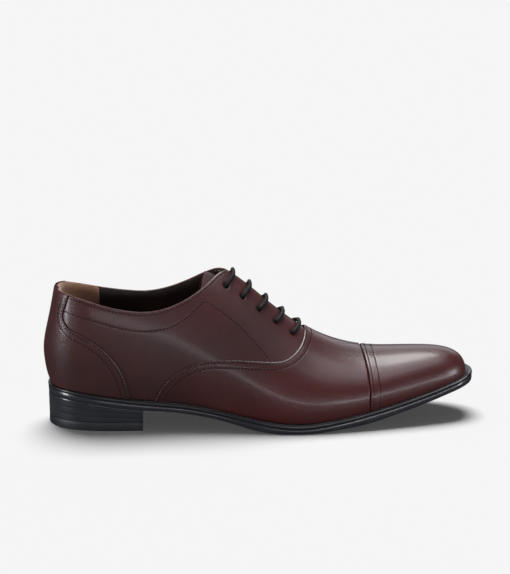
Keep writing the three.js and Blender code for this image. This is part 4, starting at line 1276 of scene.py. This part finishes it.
def laid_tree(name, sides, finish):
    """Small rounded pieces laid on each point, long way along its 'ahead' and flat on its 'out' direction."""
    tree = bpy.data.node_groups.new(name, "GeometryNodeTree")
    sockets = tree.interface
    sockets.new_socket("Geometry", in_out="INPUT", socket_type="NodeSocketGeometry")
    sockets.new_socket("Geometry", in_out="OUTPUT", socket_type="NodeSocketGeometry")
    for label in ("Length", "Width", "Height", "Unevenness"):
        sockets.new_socket(label, in_out="INPUT", socket_type="NodeSocketFloat")
    sockets.new_socket("Seed", in_out="INPUT", socket_type="NodeSocketInt")

    def add(kind, settings=None, links=None):
        node = tree.nodes.new(kind)
        for key, value in (settings or {}).items():
            setattr(node, key, value)
        for key, value in (links or {}).items():
            if isinstance(value, bpy.types.NodeSocket):
                tree.links.new(value, node.inputs[key])
            else:
                node.inputs[key].default_value = value
        return node

    given = add("NodeGroupInput").outputs
    ahead = add("GeometryNodeInputNamedAttribute", {"data_type": "FLOAT_VECTOR"}, {"Name": "ahead"})
    out = add("GeometryNodeInputNamedAttribute", {"data_type": "FLOAT_VECTOR"}, {"Name": "out"})
    lengthwise = add("FunctionNodeAlignRotationToVector", {"axis": "X"},
                     {"Vector": ahead.outputs["Attribute"]})
    laid = add("FunctionNodeAlignRotationToVector", {"axis": "Z", "pivot_axis": "X"},
               {"Rotation": lengthwise.outputs["Rotation"], "Vector": out.outputs["Attribute"]})
    size = add("ShaderNodeCombineXYZ", {}, {"X": given["Length"], "Y": given["Width"], "Z": given["Height"]})
    low = add("ShaderNodeMath", {"operation": "SUBTRACT"}, {0: 1.0, 1: given["Unevenness"]})
    high = add("ShaderNodeMath", {"operation": "ADD"}, {0: 1.0, 1: given["Unevenness"]})
    vary = add("FunctionNodeRandomValue", {"data_type": "FLOAT"}, {"Seed": given["Seed"]})
    tree.links.new(low.outputs[0], vary.inputs[2])
    tree.links.new(high.outputs[0], vary.inputs[3])
    scaled = add("ShaderNodeVectorMath", {"operation": "SCALE"},
                 {0: size.outputs[0], "Scale": vary.outputs[1]})
    bead = add("GeometryNodeMeshUVSphere", {}, {"Segments": sides, "Rings": 6, "Radius": 0.5})
    placed_beads = add("GeometryNodeInstanceOnPoints", {}, {
        "Points": given["Geometry"], "Instance": bead.outputs["Mesh"], "Rotation": laid.outputs["Rotation"],
        "Scale": scaled.outputs[0]})
    real = add("GeometryNodeRealizeInstances", {}, {"Geometry": placed_beads.outputs["Instances"]})
    smooth = add("GeometryNodeSetShadeSmooth", {}, {"Geometry": real.outputs["Geometry"]})
    painted = add("GeometryNodeSetMaterial", {}, {"Geometry": smooth.outputs["Geometry"], "Material": finish})
    add("NodeGroupOutput", {}, {"Geometry": painted.outputs["Geometry"]})
    return tree


def laid_piece(name, points, ahead, out, sizes, finish, sides=8):
    """Turns one laid_tree over the points into a plain mesh. Sizes: length, width, height, unevenness."""
    seeds = bpy.data.meshes.new(name + "_places")
    seeds.from_pydata([tuple(p) for p in placed(points)], [], [])
    for key, values in (("ahead", ahead), ("out", out)):
        layer = seeds.attributes.new(key, "FLOAT_VECTOR", "POINT")
        layer.data.foreach_set("vector", np.asarray(values, np.float32).ravel())
    carrier = bpy.data.objects.new(name + "_places", seeds)
    bpy.context.scene.collection.objects.link(carrier)
    tree = laid_tree(name + "_tree", sides, finish)
    modifier = carrier.modifiers.new("laid", "NODES")
    modifier.node_group = tree
    length, width, height, unevenness = sizes
    given = {"Length": length / 1000, "Width": width / 1000, "Height": height / 1000,
             "Unevenness": unevenness, "Seed": SEED}
    for item in tree.interface.items_tree:
        if item.in_out == "INPUT" and item.name in given:
            modifier[item.identifier] = given[item.name]
    bpy.context.view_layer.update()
    depsgraph = bpy.context.evaluated_depsgraph_get()
    mesh = bpy.data.meshes.new_from_object(carrier.evaluated_get(depsgraph), depsgraph=depsgraph)
    mesh.name = name
    bpy.data.objects.remove(carrier)
    obj = bpy.data.objects.new(name, mesh)
    bpy.context.scene.collection.objects.link(obj)
    return obj


def stitch_places(row, pitch, depth, skip=1.0):
    """Evenly pitched places along a row, with the directions along it and out of the leather."""
    even = resampled(row, pitch)[1:-1]
    points, _, _, normals = last_frame(even[:, 0], even[:, 1])
    ahead = np.gradient(points, axis=0)
    ahead /= np.linalg.norm(ahead, axis=1, keepdims=True)
    keep = (points[:, 2] > welt_upper(points[:, 0]) + skip) & (even[:, 0] > 0.02)
    return (points - normals * depth)[keep], ahead[keep], normals[keep]


THREAD = (1.45, 0.95, 0.55, 0.06)
PITCH = 2.3
SUNK = 0.1
OVERLAY_CLEARANCE = 0.6
EDGE_CLEARANCE = 1.2

overlay_places = [stitch_places(row, PITCH, SUNK) for row in (*cap_rows, *wing_rows, *counter_rows)]
quarter_places = [stitch_places(row, PITCH, QUARTER_DEPTH + SUNK) for row in (*topline_rows, *quarter_rows)]


def kept(places, clear):
    return tuple(part[clear] for part in places)


def uncovered(places):
    """Only the stitches of the quarters that no overlay covers."""
    points = places[0]
    side = np.where(points[:, 1] < 0, 0.0, 1.0)
    overlaid = np.maximum(ahead_of_wing(points, side), behind_counter(points, side))
    return kept(places, overlaid < -OVERLAY_CLEARANCE)


def below_edge(places):
    """Only the stitches that lie under the topline."""
    points = places[0]
    side = np.where(points[:, 1] < 0, 0.0, 1.0)
    return kept(places, below_topline(points, side) > EDGE_CLEARANCE)


all_places = [below_edge(places) for places in overlay_places + [uncovered(p) for p in quarter_places]]
stitches = laid_piece("upper_stitches", *[np.vstack([places[k] for places in all_places]) for k in range(3)],
                      THREAD, thread)
finished_piece(stitches, "shoe", "burgundy_leather")

WELT_ROW = 3.0
WELT_PITCH = 3.1
WELT_SUNK = 0.02
WELT_THREAD = (2.5, 0.9, 0.6, 0.05)
NAIL_INSET = 7.0
NAIL_PITCH = 11.0
NAIL_HEIGHT = 0.12
NAIL_HEAD = (1.8, 1.8, 0.22, 0.0)
NAIL_SIDES = 10


def walked_along(line, pitch):
    """Plan places at an even pitch along a line."""
    length = np.concatenate([[0], np.cumsum(np.linalg.norm(np.diff(line, axis=0), axis=1))])
    places = np.arange(0, length[-1], pitch)
    return np.stack([np.interp(places, length, line[:, k]) for k in (0, 1)], 1)


loop, out, _ = sole_loop(900)
welt_flat = walked_along(moved_in(loop, out, WELT_ROW), WELT_PITCH)
welt_flat = welt_flat[welt_flat[:, 0] > HEEL_BREAST]
welt_points = np.column_stack([welt_flat, welt_upper(welt_flat[:, 0]) - WELT_SUNK])
welt_ahead = np.gradient(welt_points, axis=0)
welt_ahead /= np.linalg.norm(welt_ahead, axis=1, keepdims=True)
welt_out = np.tile([0.0, 0.0, 1.0], (len(welt_points), 1))
finished_piece(laid_piece("welt_stitches", welt_points, welt_ahead, welt_out, WELT_THREAD, welt_thread),
               "shoe", "black_edge")

heel_line, heel_out = heel_loop()
nail_flat = walked_along(moved_in(heel_line, heel_out, NAIL_INSET), NAIL_PITCH)
nail_points = np.column_stack([nail_flat, np.full(len(nail_flat), NAIL_HEIGHT)])
nail_ahead = np.tile([1.0, 0.0, 0.0], (len(nail_flat), 1))
nail_out = np.tile([0.0, 0.0, -1.0], (len(nail_flat), 1))
finished_piece(laid_piece("heel_nails", nail_points, nail_ahead, nail_out, NAIL_HEAD, brass, NAIL_SIDES),
               "shoe", "brass")

# ---- studio -------------------------------------------------------------------------------------

PAPER = 0.8
GLOW = 0.05
SKY = 3.5
SKY_SPREAD = math.radians(34)
SKY_TILT = math.radians(-23)
AIR = 0.06
FLOOR_REACH = 9.0
COOL = (0.9, 0.93, 1.0)


def pale_floor():
    """A wide pale floor. The camera sees no horizon, and the leather doesn't mirror the floor."""
    finish = bpy.data.materials.new("studio_paper")
    finish.use_nodes = True
    tree = finish.node_tree
    tree.nodes.clear()
    output = tree.nodes.new("ShaderNodeOutputMaterial")
    both = tree.nodes.new("ShaderNodeAddShader")
    paper = tree.nodes.new("ShaderNodeBsdfDiffuse")
    glow = tree.nodes.new("ShaderNodeEmission")
    paper.inputs["Color"].default_value = (PAPER, PAPER, PAPER, 1)
    glow.inputs["Strength"].default_value = GLOW
    tree.links.new(paper.outputs[0], both.inputs[0])
    tree.links.new(glow.outputs[0], both.inputs[1])
    tree.links.new(both.outputs[0], output.inputs["Surface"])
    corners = [(x * FLOOR_REACH, y * FLOOR_REACH, 0) for x, y in ((-1, -1), (1, -1), (1, 1), (-1, 1))]
    mesh = bpy.data.meshes.new("studio_floor")
    mesh.from_pydata(corners, [], [(0, 1, 2, 3)])
    mesh.materials.append(finish)
    floor = bpy.data.objects.new("studio_floor", mesh)
    floor.visible_glossy = False
    bpy.context.scene.collection.objects.link(floor)
    floor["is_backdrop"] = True


def softbox(name, place, target, size, power):
    light = bpy.data.lights.new(name, "AREA")
    light.shape = "RECTANGLE"
    light.size, light.size_y = size
    light.energy = power
    light.color = COOL
    obj = bpy.data.objects.new(name, light)
    obj.location = place
    obj.rotation_euler = (Vector(target) - Vector(place)).to_track_quat("-Z", "Y").to_euler()
    bpy.context.scene.collection.objects.link(obj)
    return obj


pale_floor()
lamps = [
    softbox("overhead_soft", (0.05, 0.1, 1.4), (0, 0, 0.04), (1.6, 0.7), 13),
    softbox("front_high", (0.0, -0.6, 1.3), (0, 0, 0.06), (1.3, 0.5), 5),
    softbox("back_panel", (0.35, 2.3, 0.95), (0.05, 0, 0.04), (2.2, 0.9), 9),
    softbox("front_strip", (0.15, -2.0, 0.14), (0.02, 0, 0.03), (1.7, 0.08), 6),
    softbox("toe_front_strip", (1.1, -1.3, 0.2), (0.13, 0, 0.03), (1.2, 0.1), 6),
    softbox("toe_side_strip", (1.35, -0.5, 0.3), (0.14, 0, 0.03), (0.4, 0.4), 9),
    softbox("heel_side_strip", (-1.15, -0.35, 0.26), (-0.14, 0, 0.03), (0.3, 0.6), 13),
]

sky = bpy.data.lights.new("sky_soft", "SUN")
sky.energy = SKY
sky.angle = SKY_SPREAD
sky_object = bpy.data.objects.new("sky_soft", sky)
sky_object.rotation_euler = (SKY_TILT, 0, 0)
bpy.context.scene.collection.objects.link(sky_object)

# The soft boxes light the shoe alone, so the floor stays evenly pale under the open sky light.
lit = bpy.data.collections.new("lit_by_soft_boxes")
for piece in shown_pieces():
    lit.objects.link(piece)
for lamp in lamps:
    lamp.light_linking.receiver_collection = lit

world = bpy.data.worlds.new("studio_air")
bpy.context.scene.world = world
world.use_nodes = True
world.node_tree.nodes["Background"].inputs["Color"].default_value = (0.95, 0.97, 1.0, 1)
world.node_tree.nodes["Background"].inputs["Strength"].default_value = AIR
bpy.context.scene.view_settings.view_transform = "Standard"

# ---- camera -------------------------------------------------------------------------------------

AZIMUTH = math.radians(-5)
ELEVATION = math.radians(15)
DISTANCE = 3.0
AIM = np.array([152.5, 0.0, 50.0])
AIM_RIGHT = -4.15
AIM_UP = 43.5
VIEW_HEIGHT = 0.4112
SENSOR = 36.0

level = math.cos(ELEVATION)
back = Vector((math.sin(AZIMUTH) * level, -math.cos(AZIMUTH) * level, math.sin(ELEVATION)))
right = Vector((math.cos(AZIMUTH), math.sin(AZIMUTH), 0))
up = back.cross(right)
aim = Vector(placed(AIM)) + right * (AIM_RIGHT / 1000) + up * (AIM_UP / 1000)
camera_data = bpy.data.cameras.new("camera")
camera_data.lens = SENSOR * DISTANCE / VIEW_HEIGHT
camera_data.sensor_width = SENSOR
camera = bpy.data.objects.new("camera", camera_data)
camera.location = aim + back * DISTANCE
camera.rotation_euler = back.to_track_quat("Z", "Y").to_euler()
bpy.context.scene.collection.objects.link(camera)
bpy.context.scene.camera = camera
